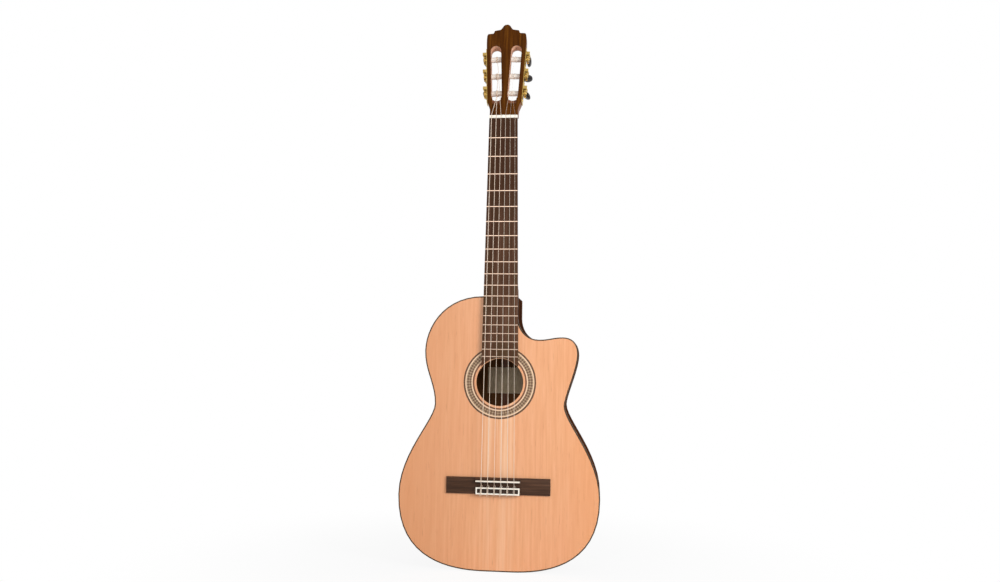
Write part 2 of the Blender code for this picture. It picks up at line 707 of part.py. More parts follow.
def fretboard():
    corner = HOLE_RADIUS + BOARD_END_MARGIN
    reach = board_half(HOLE_Z + sqrt(corner ** 2 - (JOIN_WIDTH / 2) ** 2))
    start = atan2(sqrt(corner ** 2 - reach ** 2), reach)
    turns = [start + (pi - 2 * start) * k / 12 for k in range(13)]
    end = [(corner * cos(a), HOLE_Z + corner * sin(a)) for a in turns]
    outline = end + [(-NUT_WIDTH / 2, NUT_Z), (NUT_WIDTH / 2, NUT_Z)]
    board = loft("fretboard", plate_rings(outline, BOARD_FACE, BOARD_BACK), ROSEWOOD)
    slots = bmesh.new()
    half = FRET_TANG_WIDTH / 2 + GLUE
    for number in range(1, FRET_COUNT + 1):
        z = fret_z(number)
        add_loft(slots, block_rings((-JOIN_WIDTH, JOIN_WIDTH),
                                    (BOARD_FACE - BOARD_THICKNESS, BOARD_FACE + FRET_TANG_DEPTH + 2 * GLUE),
                                    (z - half, z + half)))
    boolean(board, cutter("fret_slots", slots), "DIFFERENCE")


def frets():
    crown = FRET_CROWN_WIDTH / 2
    tang = FRET_TANG_WIDTH / 2
    seat = BOARD_FACE - GLUE
    flat = FRET_FLAT * crown
    section = ((-crown, 0.0), (-flat, -FRET_CROWN_HEIGHT), (flat, -FRET_CROWN_HEIGHT),
               (crown, 0.0), (tang, 0.0), (tang, FRET_TANG_DEPTH), (-tang, FRET_TANG_DEPTH), (-tang, 0.0))
    for number in range(1, FRET_COUNT + 1):
        z = fret_z(number)
        half = board_half(z) - GLUE
        rings = [[(x, seat + dy, z + dz) for dz, dy in section] for x in (-half, half)]
        loft("fret_%02d" % number, rings, NICKEL)


def string_x(number, span):
    """Strings one to six run from the treble side to the bass side."""
    return span / 2 - span * (number - 1) / 5


def nut():
    half = NUT_WIDTH / 2
    top = FRONT - NUT_HEIGHT
    profile = [(-half, FRONT - GLUE), (-half, top)]
    for number in range(6, 0, -1):
        x = string_x(number, NUT_STRING_SPAN)
        wide = STRING_RADII[number - 1] + RUN
        profile += [(x - wide, top), (x - wide, top + NUT_SLOT_DEPTH),
                    (x + wide, top + NUT_SLOT_DEPTH), (x + wide, top)]
    profile += [(half, top), (half, FRONT - GLUE)]
    rings = [[(x, y, z) for x, y in profile] for z in (NUT_Z + GLUE, HEAD_Z - GLUE)]
    loft("nut", rings, BONE)


# Headstock, tilted back, with two slots for the rollers
def head_outline(low_s):
    lobe = (CROWN_LOBE_X, CROWN_LOBE_S)
    half = [(board_half(NUT_Z), low_s), (board_half(NUT_Z), HEAD_NECK_S)]
    half += bezier(half[-1], (half[-1][0], HEAD_NECK_S + HEAD_NECK_HANDLE),
                   (HEAD_LOWER_HALF, HEAD_LOWER_S - HEAD_LOWER_HANDLE), (HEAD_LOWER_HALF, HEAD_LOWER_S), 4)
    half += [(HEAD_UPPER_HALF, HEAD_UPPER_S), (HEAD_UPPER_HALF, CROWN_SIDE_S)]
    half += bezier((HEAD_UPPER_HALF, CROWN_SIDE_S), (HEAD_UPPER_HALF, CROWN_SHOULDER_S),
                   (HEAD_UPPER_HALF - CROWN_HANDLE, CROWN_SHOULDER_S),
                   (CROWN_SHOULDER_X, CROWN_SHOULDER_S), 4)
    half += bezier((CROWN_NOTCH_X, CROWN_SHOULDER_S), (CROWN_NOTCH_X - CROWN_STEP_HANDLE, CROWN_SHOULDER_S),
                   (CROWN_STEP_X + CROWN_HANDLE, CROWN_STEP_S - CROWN_STEP_HANDLE),
                   (CROWN_STEP_X, CROWN_STEP_S), 4)
    half += bezier(lobe, (CROWN_LOBE_X - CROWN_LOBE_HANDLE, CROWN_LOBE_S),
                   (CROWN_TIP_HANDLE, HEAD_LENGTH), (0.0, HEAD_LENGTH), 8)
    return half + [(-x, s) for x, s in half[-2::-1]]


def slot_outline():
    """A slot with round ends in a tuner frame: (inward, along)."""
    radius = SLOT_WIDTH / 2
    middle = -(SLOT_WALL + radius)
    ends = ((SLOT_HIGH_S - TUNER_MIDDLE_S - radius, 0.0), (SLOT_LOW_S - TUNER_MIDDLE_S + radius, pi))
    return [(middle + radius * cos(start + a), along + radius * sin(start + a))
            for along, start in ends for a in (pi * k / 8 for k in range(9))]


def side_frame(side, head_frame):
    """An empty on one side of the head: X points outwards on the treble side."""
    taper = atan2(HEAD_UPPER_HALF - HEAD_LOWER_HALF, HEAD_UPPER_S - HEAD_LOWER_S)
    share = (TUNER_MIDDLE_S - HEAD_LOWER_S) / (HEAD_UPPER_S - HEAD_LOWER_S)
    half = HEAD_LOWER_HALF + (HEAD_UPPER_HALF - HEAD_LOWER_HALF) * share
    frame = empty("tuner_frame_bass" if side < 0 else "tuner_frame_treble", head_frame)
    frame.location = (side * half, 0.0, TUNER_MIDDLE_S)
    frame.rotation_euler = (0.0, side * taper, 0.0)
    return frame


def empty(name, parent=None):
    point = bpy.data.objects.new(name, None)
    bpy.context.scene.collection.objects.link(point)
    point.parent = parent
    return point


ROLLER_DEPTH = (HEAD_THICKNESS - VENEER_THICKNESS) / 2


def head_tools(side, frame):
    """Cutters for one side of the head: its slot, the string ramp and the roller bores."""
    tools = []
    slot = bmesh.new()
    outline = slot_outline()
    add_loft(slot, [[(side * x, y, z) for x, z in outline]
                    for y in (-HEAD_THICKNESS, 2 * HEAD_THICKNESS)])
    tools.append(cutter("slot_cut_%d" % (side + 1), slot, frame))
    ramp = bmesh.new()
    low = SLOT_LOW_S - TUNER_MIDDLE_S
    inner = SLOT_WALL + SLOT_WIDTH - RAMP_MARGIN
    outer = SLOT_WALL + RAMP_MARGIN
    above = -3 * VENEER_THICKNESS
    wedge = ((above, low - RAMP_LENGTH), (RAMP_DEPTH, low + SLOT_WIDTH / 2), (above, low + SLOT_WIDTH / 2))
    add_loft(ramp, [[(-side * x, y, z) for y, z in wedge] for x in (inner, outer)])
    tools.append(cutter("ramp_cut_%d" % (side + 1), ramp, frame))
    bores = bmesh.new()
    depth = SLOT_WALL + SLOT_WIDTH + ROLLER_PIN_LENGTH + FIT
    for place_along in tuner_places():
        ring = circle(ROLLER_NECK_RADIUS + RUN, 16, (ROLLER_DEPTH, place_along))
        add_loft(bores, [[(side * x, y, z) for y, z in ring] for x in (-depth, SLOT_WALL)])
    tools.append(cutter("bore_cut_%d" % (side + 1), bores, frame))
    return tools


def tuner_places():
    """Rollers of the first, second and third string of a side, from the nut upwards."""
    return [-TUNER_SPACING, 0.0, TUNER_SPACING]


def headstock(head_frame, frames):
    lift = tan_tilt() * HEAD_THICKNESS
    low = GLUE / cos(HEAD_TILT)
    front = [(x, 0.0, s) for x, s in head_outline(low)]
    back = [(x, HEAD_THICKNESS, s) for x, s in head_outline(low + lift)]
    head = loft("headstock", [front, back], MAHOGANY, head_frame)
    veneer_front = [(x, -VENEER_THICKNESS, s) for x, s in head_outline(low)]
    veneer_back = [(x, -GLUE, s) for x, s in head_outline(low)]
    veneer = loft("headstock_veneer", [veneer_front, veneer_back], ROSEWOOD, head_frame)
    for side, frame in frames.items():
        slot, ramp, bores = head_tools(side, frame)
        for piece in (head, veneer):
            boolean(piece, slot, "DIFFERENCE")
            boolean(piece, ramp, "DIFFERENCE")
        boolean(head, bores, "DIFFERENCE")


def tan_tilt():
    return sin(HEAD_TILT) / cos(HEAD_TILT)


# Tuning machines: plate, three rollers with cogs, three worms with buttons on each side
COG_PITCH_RADIUS = COG_TEETH * COG_MODULE / 2
WORM_OFFSET = COG_PITCH_RADIUS + WORM_PITCH_RADIUS
WORM_LEAD = pi * COG_MODULE
WORM_ROOT = WORM_PITCH_RADIUS - THREAD_DEDENDUM
WORM_CREST = WORM_PITCH_RADIUS + THREAD_ADDENDUM
COG_X = PLATE_THICKNESS + GLUE + FIT + max(COG_WIDTH / 2, WORM_CREST)
EAR_GAP = WORM_LENGTH / 2 + RUN


def tuner_plate(side, frame):
    name = "tuner_plate_bass" if side < 0 else "tuner_plate_treble"
    span = TUNER_SPACING + PLATE_END
    build = bmesh.new()
    across = (ROLLER_DEPTH - PLATE_WIDTH / 2, ROLLER_DEPTH + PLATE_WIDTH / 2)
    xs = sorted((side * GLUE, side * (GLUE + PLATE_THICKNESS)))
    add_loft(build, block_rings(xs, across, (-span, span)))
    plate = place(name, build, GOLD, frame)
    ears = bmesh.new()
    holes = bmesh.new()
    reach = WORM_ROOT + EAR_WALL
    ear_x = sorted((side * (GLUE + PLATE_THICKNESS / 2), side * (COG_X + reach)))
    for along in tuner_places():
        worm_z = along + WORM_OFFSET
        for end in (-1, 1):
            inner = ROLLER_DEPTH + end * EAR_GAP
            ys = sorted((inner, inner + end * EAR_THICKNESS))
            add_loft(ears, block_rings(ear_x, ys, (worm_z - reach, worm_z + reach)))
        bore = circle(WORM_ROOT + RUN, 12, (side * COG_X, worm_z))
        add_loft(holes, [[(x, y, z) for x, z in bore]
                         for y in (ROLLER_DEPTH - PLATE_WIDTH, ROLLER_DEPTH + PLATE_WIDTH)])
        neck_hole = circle(ROLLER_NECK_RADIUS + RUN, 16, (ROLLER_DEPTH, along))
        add_loft(holes, [[(x, y, z) for y, z in neck_hole]
                         for x in sorted((-side * PLATE_THICKNESS, side * 3 * PLATE_THICKNESS))])
    boolean(plate, cutter(name + "_ears", ears, frame), "UNION")
    boolean(plate, cutter(name + "_holes", holes, frame), "DIFFERENCE")


def cog_ring(x, turn):
    """The cog's toothed outline, turned about the roller's axis."""
    root = COG_PITCH_RADIUS - THREAD_DEDENDUM
    tip = COG_PITCH_RADIUS + THREAD_ADDENDUM
    quarter = pi / (2 * COG_TEETH)
    slack = THREAD_BACKLASH / COG_PITCH_RADIUS
    foot, top = COG_FOOT * quarter, COG_TOP * quarter
    corners = ((-foot, root), (-top, tip), (top, tip), (foot, root))
    points = []
    for tooth in range(COG_TEETH):
        middle = 2 * pi * tooth / COG_TEETH + turn
        for angle, radius in corners:
            narrow = angle - slack if angle > 0 else angle + slack
            points.append((x, -radius * sin(middle + narrow), radius * cos(middle + narrow)))
    return points


def mirrored(rings, side):
    return [[(side * x, y, z) for x, y, z in ring] for ring in rings]


def roller(number, side, along, frame):
    """A roller on its own axis, from its pin in the head's web out to its cog."""
    inner = -(SLOT_WALL + SLOT_WIDTH)
    steps = ((inner - ROLLER_PIN_LENGTH, ROLLER_NECK_RADIUS), (inner + FIT, ROLLER_NECK_RADIUS),
             (inner + FIT, ROLLER_RADIUS), (-SLOT_WALL - FIT, ROLLER_RADIUS),
             (-SLOT_WALL - FIT, ROLLER_NECK_RADIUS), (COG_X, ROLLER_NECK_RADIUS))
    build = bmesh.new()
    rings = [[(x, y, z) for y, z in circle(radius, 16)] for x, radius in steps]
    add_loft(build, mirrored(rings, side))
    piece = place("roller_%d" % number, build, ROLLER_WHITE, frame)
    piece.location = (0.0, ROLLER_DEPTH, along)
    lean = WORM_LEAD / (2 * pi * WORM_PITCH_RADIUS * COG_PITCH_RADIUS)
    cog = bmesh.new()
    edges = (COG_X - COG_WIDTH / 2, COG_X + COG_WIDTH / 2)
    add_loft(cog, mirrored([cog_ring(x, -lean * (x - COG_X)) for x in edges], side))
    tool = cutter("cog_%d" % number, cog, frame)
    tool.location = piece.location
    boolean(piece, tool, "UNION")


def add_thread(build, side, low, high):
    """The worm's helical thread, running out into the shaft at both ends."""
    sides = 12
    slack = THREAD_BACKLASH
    quarter = WORM_LEAD / 4
    foot = quarter * THREAD_FOOT - slack
    top = quarter * THREAD_TOP - slack
    corners = ((-foot, WORM_ROOT), (-top, WORM_CREST), (top, WORM_CREST), (foot, WORM_ROOT))
    first = -int(WORM_LENGTH / WORM_LEAD) - 3
    lines = [(turn + 0.5, offset, radius) for turn in range(first, -first) for offset, radius in corners]

    def point(line, k):
        turn, offset, radius = line
        y = WORM_LEAD * (turn + k / sides) + offset
        kept = min(max(y, low), high)
        r = radius if kept == y else WORM_ROOT
        angle = 2 * pi * k / sides
        return build.verts.new((side * r * sin(angle), kept, -r * cos(angle)))

    for a, b in zip(lines, lines[1:]):
        for k in range(sides):
            corners_of_face = [point(a, k), point(a, k + 1), point(b, k + 1), point(b, k)]
            build.faces.new(corners_of_face)


def button(number, side, along, frame):
    """One worm with its shaft and its oval button, on the worm's axis."""
    sides = 12
    low, high = -WORM_LENGTH / 2, WORM_LENGTH / 2
    start = low - RUN - EAR_THICKNESS
    stem = high + RUN + EAR_THICKNESS + RUN
    knob = stem + STEM_LENGTH
    turn = radians(BUTTON_TURNS[number - 1])
    build = bmesh.new()

    def ring(y, wide, thick):
        points = []
        for k in range(sides):
            angle = 2 * pi * k / sides
            x, z = wide * sin(angle), -thick * cos(angle)
            points.append((side * (x * cos(turn) - z * sin(turn)), y, x * sin(turn) + z * cos(turn)))
        return points

    def plain(y, radius):
        return [(side * radius * sin(2 * pi * k / sides), y, -radius * cos(2 * pi * k / sides))
                for k in range(sides)]

    front = [build.verts.new(p) for p in plain(start, WORM_ROOT)]
    ends = [build.verts.new(p) for p in plain(low, WORM_ROOT)]
    build.faces.new(front)
    for k in range(sides):
        n = (k + 1) % sides
        build.faces.new((front[k], front[n], ends[n], ends[k]))
    add_thread(build, side, low, high)
    rings = [plain(high, WORM_ROOT), plain(stem, WORM_ROOT), plain(stem, WORM_ROOT * STEM_START_FLARE),
             plain(knob, WORM_ROOT * STEM_END_FLARE)]
    rings += [ring(knob + BUTTON_LENGTH * part, BUTTON_HALF_WIDTH * wide, BUTTON_HALF_THICKNESS * thick)
              for part, wide, thick in BUTTON_SHAPE]
    rows = [[build.verts.new(p) for p in points] for points in rings]
    for a, b in zip(rows, rows[1:]):
        for k in range(sides):
            n = (k + 1) % sides
            build.faces.new((a[k], a[n], b[n], b[k]))
    build.faces.new(rows[-1])
    piece = place("button_%d" % number, build, BUTTON_BLACK, frame)
    piece.location = (side * COG_X, ROLLER_DEPTH, along + WORM_OFFSET)


def tuners(frames):
    for side, frame in frames.items():
        tuner_plate(side, frame)
        for row, along in enumerate(tuner_places()):
            number = row + 1 if side > 0 else 6 - row
            roller(number, side, along, frame)
            button(number, side, along, frame)


# Bridge, saddle and the inlaid frame of the tie block
BRIDGE_TOP_Z = SADDLE_Z + SADDLE_SETBACK
TIE_LOW_Z = BRIDGE_TOP_Z - BRIDGE_LENGTH
TIE_HIGH_Z = TIE_LOW_Z + TIE_LENGTH


def bridge():
    seat = FRONT - GLUE
    ridge_low = BRIDGE_TOP_Z - SADDLE_RIDGE
    profile = [(seat, TIE_LOW_Z), (seat, BRIDGE_TOP_Z), (FRONT - WING_HEIGHT, BRIDGE_TOP_Z),
               (FRONT - SADDLE_RIDGE_HEIGHT, BRIDGE_TOP_Z - WING_HEIGHT / 2),
               (FRONT - SADDLE_RIDGE_HEIGHT, ridge_low), (FRONT - WING_HEIGHT, ridge_low),
               (FRONT - WING_HEIGHT, TIE_HIGH_Z), (FRONT - TIE_HEIGHT, TIE_HIGH_Z),
               (FRONT - TIE_HEIGHT, TIE_LOW_Z)]
    half = TIE_WIDTH / 2
    piece = loft("bridge", [[(x, y, z) for y, z in profile] for x in (-half, half)], ROSEWOOD)
    wings = bmesh.new()
    add_loft(wings, block_rings((-BRIDGE_WIDTH / 2, BRIDGE_WIDTH / 2), (FRONT - WING_HEIGHT, seat),
                                (TIE_LOW_Z, BRIDGE_TOP_Z)))
    boolean(piece, cutter("bridge_wings", wings), "UNION")
    cuts = bmesh.new()
    slot = SADDLE_THICKNESS / 2 + GLUE
    add_loft(cuts, block_rings((-SADDLE_WIDTH / 2 - GLUE, SADDLE_WIDTH / 2 + GLUE),
                               (FRONT - 2 * TIE_HEIGHT, FRONT - SADDLE_RIDGE_HEIGHT + SADDLE_SLOT_DEPTH),
                               (SADDLE_Z - slot, SADDLE_Z + slot)))
    for number in range(1, 7):
        hole = circle(TIE_HOLE_RADIUS, 8, (string_x(number, STRING_SPAN), FRONT - TIE_HOLE_HEIGHT))
        add_loft(cuts, [[(x, y, z) for x, y in hole] for z in (TIE_LOW_Z - TIE_LENGTH, TIE_HIGH_Z + FIT)])
    boolean(piece, cutter("bridge_cuts", cuts), "DIFFERENCE")


def saddle():
    half = SADDLE_THICKNESS / 2
    base = FRONT - SADDLE_RIDGE_HEIGHT + SADDLE_SLOT_DEPTH - GLUE
    top = FRONT - SADDLE_TOP
    crest = half * SADDLE_CREST
    shoulder = top + half * SADDLE_ROUNDING
    profile = ((base, -half), (base, half), (shoulder, half), (top, crest),
               (top, -crest), (shoulder, -half))
    rings = [[(x, y, SADDLE_Z + z) for y, z in profile] for x in (-SADDLE_WIDTH / 2, SADDLE_WIDTH / 2)]
    loft("saddle", rings, BONE)


def tie_block_inlay():
    half = INLAY_WIDTH / 2
    middle = (TIE_LOW_Z + TIE_HIGH_Z) / 2
    tall = TIE_LENGTH / 2 - GLUE
    outer = ((-half, middle - tall), (half, middle - tall), (half, middle + tall), (-half, middle + tall))
    inner = [(x - INLAY_BORDER * (1 if x > 0 else -1), z - INLAY_BORDER * (1 if z > middle else -1))
             for x, z in outer]
    high = FRONT - TIE_HEIGHT - GLUE
    low = high - INLAY_THICKNESS
    build = bmesh.new()
    loops = [[build.verts.new((x, y, z)) for x, z in corners]
             for corners, y in ((inner, low), (outer, low), (outer, high), (inner, high))]
    for a, b in zip(loops, loops[1:] + loops[:1]):
        for k in range(4):
            build.faces.new((a[k], a[(k + 1) % 4], b[(k + 1) % 4], b[k]))
    place("tie_block_inlay", build, BONE)


# Strings, from the tie block over saddle and nut to their rollers
def strings(frames):
    bpy.context.view_layer.update()
    for number in range(1, 7):
        side = 1 if number <= 3 else -1
        radius = STRING_RADII[number - 1]
        row = number - 1 if number <= 3 else 6 - number
        along = tuner_places()[row]
        local = Vector((-side * (SLOT_WALL + SLOT_WIDTH / 2 + STRING_INSET),
                        ROLLER_DEPTH - ROLLER_RADIUS - radius - RUN, along))
        at_roller = frames[side].matrix_world @ local
        nut_x = string_x(number, NUT_STRING_SPAN)
        bridge_x = string_x(number, STRING_SPAN)
        nut_y = FRONT - NUT_HEIGHT + NUT_SLOT_DEPTH - radius - RUN
        points = [(bridge_x, FRONT - TIE_HOLE_HEIGHT, TIE_LOW_Z + FIT),
                  (bridge_x, FRONT - TIE_HOLE_HEIGHT, TIE_HIGH_Z + FIT),
                  (bridge_x, FRONT - SADDLE_TOP - radius - RUN, SADDLE_Z - SADDLE_THICKNESS / 2),
                  (nut_x, nut_y, NUT_Z), (nut_x, nut_y, HEAD_Z), tuple(at_roller)]
        curve = bpy.data.curves.new("string_%d" % number, "CURVE")
        curve.dimensions = "3D"
        curve.bevel_depth = radius
        curve.bevel_resolution = 1
        curve.use_fill_caps = True
        spline = curve.splines.new("POLY")
        spline.points.add(len(points) - 1)
        for point, place_at in zip(spline.points, points):
            point.co = (*place_at, 1.0)
        curve.materials.append(NYLON)
        string = bpy.data.objects.new("string_%d" % number, curve)
        bpy.context.scene.collection.objects.link(string)


soundboard()
back_plate()
sides()
linings()
tail_block()
top_bracing()
back_bracing()
neck()
fretboard()
frets()
nut()
HEAD_FRAME = empty("head_frame")
HEAD_FRAME.matrix_world = Matrix.Translation((0.0, FRONT, HEAD_Z)) @ Matrix.Rotation(-HEAD_TILT, 4, "X")
SIDE_FRAMES = {side: side_frame(side, HEAD_FRAME) for side in (-1, 1)}
headstock(HEAD_FRAME, SIDE_FRAMES)
tuners(SIDE_FRAMES)
bridge()
saddle()
tie_block_inlay()
strings(SIDE_FRAMES)
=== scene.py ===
"""Cutaway classical guitar with a cedar top and a slotted head, seen from the front on white."""
import json
from math import cos, pi, radians, sin

import bpy
from mathutils import Matrix, Vector


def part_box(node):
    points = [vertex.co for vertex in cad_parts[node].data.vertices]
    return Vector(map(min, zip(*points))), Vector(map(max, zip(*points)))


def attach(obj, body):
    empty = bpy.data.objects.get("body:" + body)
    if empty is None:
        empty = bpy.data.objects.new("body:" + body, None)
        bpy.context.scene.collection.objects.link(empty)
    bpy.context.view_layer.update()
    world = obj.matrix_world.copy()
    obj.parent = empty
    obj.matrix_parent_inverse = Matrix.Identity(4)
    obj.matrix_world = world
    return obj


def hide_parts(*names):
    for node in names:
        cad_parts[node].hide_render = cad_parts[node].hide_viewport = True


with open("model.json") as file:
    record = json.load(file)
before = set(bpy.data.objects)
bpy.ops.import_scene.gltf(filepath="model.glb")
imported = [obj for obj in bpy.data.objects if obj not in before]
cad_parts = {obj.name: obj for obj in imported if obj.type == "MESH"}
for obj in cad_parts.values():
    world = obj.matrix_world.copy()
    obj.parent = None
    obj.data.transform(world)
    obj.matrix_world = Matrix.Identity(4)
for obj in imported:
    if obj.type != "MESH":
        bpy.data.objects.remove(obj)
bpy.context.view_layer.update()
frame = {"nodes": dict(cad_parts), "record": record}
nodes = frame["nodes"]
bpy.context.scene.view_settings.view_transform = "Standard"

# Studio. A pale floor runs into a white background. One soft lamp stands to the right of the guitar
# and a larger one in front of it, and the camera stands a little to the right, at soundhole height.
CAMERA_PLACE = Vector((0.1700, -1.5930, 0.3532))
CAMERA_TURN = 0.1110         # radians to the left of straight ahead
CAMERA_RISE = 0.0892         # radians above the horizon
CAMERA_ROLL = 0.0154         # radians
CAMERA_LENS = 31.26          # millimetres, as is the width of the sensor
CAMERA_SENSOR = 36.0
level = Vector((cos(CAMERA_TURN), sin(CAMERA_TURN), 0.0))
onward = Vector((-sin(CAMERA_TURN), cos(CAMERA_TURN), 0.0))
ahead = onward * cos(CAMERA_RISE) + Vector((0.0, 0.0, sin(CAMERA_RISE)))
upright = level.cross(ahead)
right = level * cos(CAMERA_ROLL) + upright * sin(CAMERA_ROLL)
up = upright * cos(CAMERA_ROLL) - level * sin(CAMERA_ROLL)
bpy.ops.object.select_all(action="DESELECT")
bpy.ops.object.camera_add()
camera = bpy.context.object
camera.name = "camera"
camera.data.sensor_width = CAMERA_SENSOR
camera.data.lens = CAMERA_LENS
camera.matrix_world = Matrix.Translation(CAMERA_PLACE) @ Matrix((right, up, -ahead)).transposed().to_4x4()
bpy.context.scene.camera = camera


class Shade:
    """A shader socket that takes part in Python sums; each operator adds its Math node."""

    def __init__(self, tree, socket=None):
        self.tree = tree
        self.socket = socket

    def node(self, kind, settings, sockets, output=0):
        """Add a node of any kind: its settings first, then the values or links of its sockets."""
        node = self.tree.nodes.new(kind)
        for name, value in settings.items():
            if name == "stops":
                stops = node.color_ramp.elements
                stops[0].position, stops[0].color = value[0]
                stops[1].position, stops[1].color = value[-1]
                for place, colour in value[1:-1]:
                    stops.new(place).color = colour
            else:
                setattr(node, name, value)
        for name, value in sockets.items():
            if isinstance(value, Shade):
                self.tree.links.new(value.socket, node.inputs[name])
            else:
                node.inputs[name].default_value = value
        return Shade(self.tree, node.outputs[output])

    def math(self, operation, first, second=0.0):
        """Add a Math node for one or two values."""
        return self.node("ShaderNodeMath", {"operation": operation}, {0: first, 1: second})

    def __add__(self, other):
        return self.math("ADD", self, other)

    def __sub__(self, other):
        return self.math("SUBTRACT", self, other)

    def __rsub__(self, other):
        return self.math("SUBTRACT", other, self)

    def __mul__(self, other):
        return self.math("MULTIPLY", self, other)

    def __pow__(self, other):
        return self.math("POWER", self, other)

    def __gt__(self, other):
        return self.math("GREATER_THAN", self, other)

    def __lt__(self, other):
        return self.math("LESS_THAN", self, other)

    def __abs__(self):
        return self.math("ABSOLUTE", self)

    __radd__ = __add__
    __rmul__ = __mul__

    def sine(self):
        return self.math("SINE", self)

    def eased(self, low, high):
        """0 below the first value, 1 above the second, and smooth between them."""
        return self.node("ShaderNodeMapRange", {"interpolation_type": "SMOOTHSTEP"},
                         {"Value": self, "From Min": low, "From Max": high})

    def feeds(self, socket):
        """Link this value to an input of another node."""
        self.tree.links.new(self.socket, socket)


def seen_rays(tree):
    """1 for a ray that shows the background: from the camera, off a mirror or through glass."""
    direct, glossy, through = (Shade(tree).node("ShaderNodeLightPath", {}, {}, "Is %s Ray" % kind)
                               for kind in ("Camera", "Glossy", "Transmission"))
    return direct.math("MAXIMUM", direct, direct.math("MAXIMUM", glossy, through))


def place_on_piece(tree):
    """Where a point lies on the piece, whole and as its three numbers."""
    here = Shade(tree).node("ShaderNodeTexCoord", {}, {}, "Object")
    return here, [here.node("ShaderNodeSeparateXYZ", {}, {0: here}, axis) for axis in "XYZ"]


def show(share, lit, seen, output):
    """Send a surface out as a mix: the lit shader, and a share of what is only seen."""
    share.node("ShaderNodeMixShader", {}, {0: share, 1: lit, 2: seen}).feeds(output.inputs["Surface"])


WHITE = (1.0, 1.0, 1.0, 1.0)
WORLD_LIGHT = 0.33
world = bpy.data.worlds.new("white_room")
bpy.context.scene.world = world
world.use_nodes = True
air = world.node_tree
air_light = air.nodes["Background"]
air_light.inputs["Color"].default_value = WHITE
air_light.inputs["Strength"].default_value = WORLD_LIGHT
seen = seen_rays(air)
white = seen.node("ShaderNodeBackground", {}, {"Color": WHITE, "Strength": 1.0})
show(seen, Shade(air, air_light.outputs[0]), white, air.nodes["World Output"])

FLOOR_SIZE = 14.0
FLOOR_DROP = 0.0004          # under the tail of the guitar
FLOOR_GREY = (0.92, 0.92, 0.92, 1.0)
FLOOR_ROUGHNESS = 0.9
FLOOR_SHADOW = 0.09          # how much of the floor's own shade shows near the guitar
SHADOW_NEAR, SHADOW_FAR = 0.15, 0.75
bpy.ops.mesh.primitive_plane_add(size=FLOOR_SIZE, location=(0.0, 0.0, -FLOOR_DROP))
floor = bpy.context.object
floor.name = "floor"
floor_paint = bpy.data.materials.new("floor_paint")
floor_paint.use_nodes = True
floor.data.materials.append(floor_paint)
floor_tree = floor_paint.node_tree
floor_shader = floor_tree.nodes["Principled BSDF"]
floor_shader.inputs["Base Color"].default_value = FLOOR_GREY
floor_shader.inputs["Roughness"].default_value = FLOOR_ROUGHNESS
_, (x, y, _) = place_on_piece(floor_tree)
away = ((x * x + y * y) ** 0.5).eased(SHADOW_NEAR, SHADOW_FAR)
seen = seen_rays(floor_tree)
glow = seen.node("ShaderNodeEmission", {}, {"Color": WHITE, "Strength": 1.0})
unshaded = seen * (1.0 - FLOOR_SHADOW * (1.0 - away))
show(unshaded, Shade(floor_tree, floor_shader.outputs[0]), glow, floor_tree.nodes["Material Output"])

LAMP_AIM = Vector((0.0, -0.05, 0.45))


def soft_lamp(name, place, size, power):
    """A round lamp that faces the middle of the guitar."""
    bpy.ops.object.light_add(type="AREA", location=place)
    lamp = bpy.context.object
    lamp.name = name
    lamp.data.shape = "DISK"
    lamp.data.size = size
    lamp.data.energy = power
    lamp.rotation_euler = (LAMP_AIM - Vector(place)).to_track_quat("-Z", "Y").to_euler()


soft_lamp("lamp_right", (1.25, -1.15, 0.80), 0.7, 18.2)
soft_lamp("lamp_front", (-0.2, -2.6, 1.35), 1.6, 14.0)


# Soundboard. Two bookmatched halves of quartersawn cedar meet on the centre line, with paler streaks
# there, under thin satin lacquer. It is glued to the linings and let in behind the binding.
def tone(red, green, blue):
    """A screen colour of 0 to 255 as the shader's linear numbers."""
    return tuple(((c / 255 + 0.055) / 1.055) ** 2.4 for c in (red, green, blue)) + (1.0,)


COAT_ROUGHNESS = 0.12
BUMP_STRENGTH = 0.6


def finish(name, roughness, metallic=0.0, coat=0.0, specular=0.5):
    """A new material, its shader, the place on the piece, and that place as (x, y, z)."""
    made = bpy.data.materials.new(name)
    made.use_nodes = True
    shader = made.node_tree.nodes["Principled BSDF"]
    shader.inputs["Roughness"].default_value = roughness
    shader.inputs["Metallic"].default_value = metallic
    shader.inputs["Coat Weight"].default_value = coat
    shader.inputs["Coat Roughness"].default_value = COAT_ROUGHNESS
    shader.inputs["Specular IOR Level"].default_value = specular
    return (made, shader, *place_on_piece(made.node_tree))


def mottle(here, scale, detail=4.0, rough=0.55):
    """Noise with its own scale along X, Y and Z; a low scale draws it out into grain."""
    spread = here.node("ShaderNodeMapping", {}, {"Vector": here, "Scale": scale})
    return here.node("ShaderNodeTexNoise", {},
                     {"Vector": spread, "Scale": 1.0, "Detail": detail, "Roughness": rough})


def bookmatched(x, y, z):
    """A place that is the same on both sides of the centre line."""
    return x.node("ShaderNodeCombineXYZ", {}, {"X": abs(x), "Y": y, "Z": z})


def mixed(share, first, second):
    """From the first colour at share 0 to the second at 1."""
    return share.node("ShaderNodeMix", {"data_type": "RGBA"}, {0: share, 6: first, 7: second}, 2)


def ramped(value, *stops):
    """A colour from a value, by stops of (value, colour)."""
    return value.node("ShaderNodeValToRGB", {"stops": stops}, {0: value})


def embossed(height, depth, shader):
    """A bump of that depth in metres."""
    bump = height.node("ShaderNodeBump", {}, {"Strength": BUMP_STRENGTH, "Distance": depth, "Height": height})
    bump.feeds(shader.inputs["Normal"])


def paint_nodes(material, *names):
    """Give solids that need no new shape their material."""
    for name in names:
        nodes[name].data.materials.clear()
        nodes[name].data.materials.append(material)


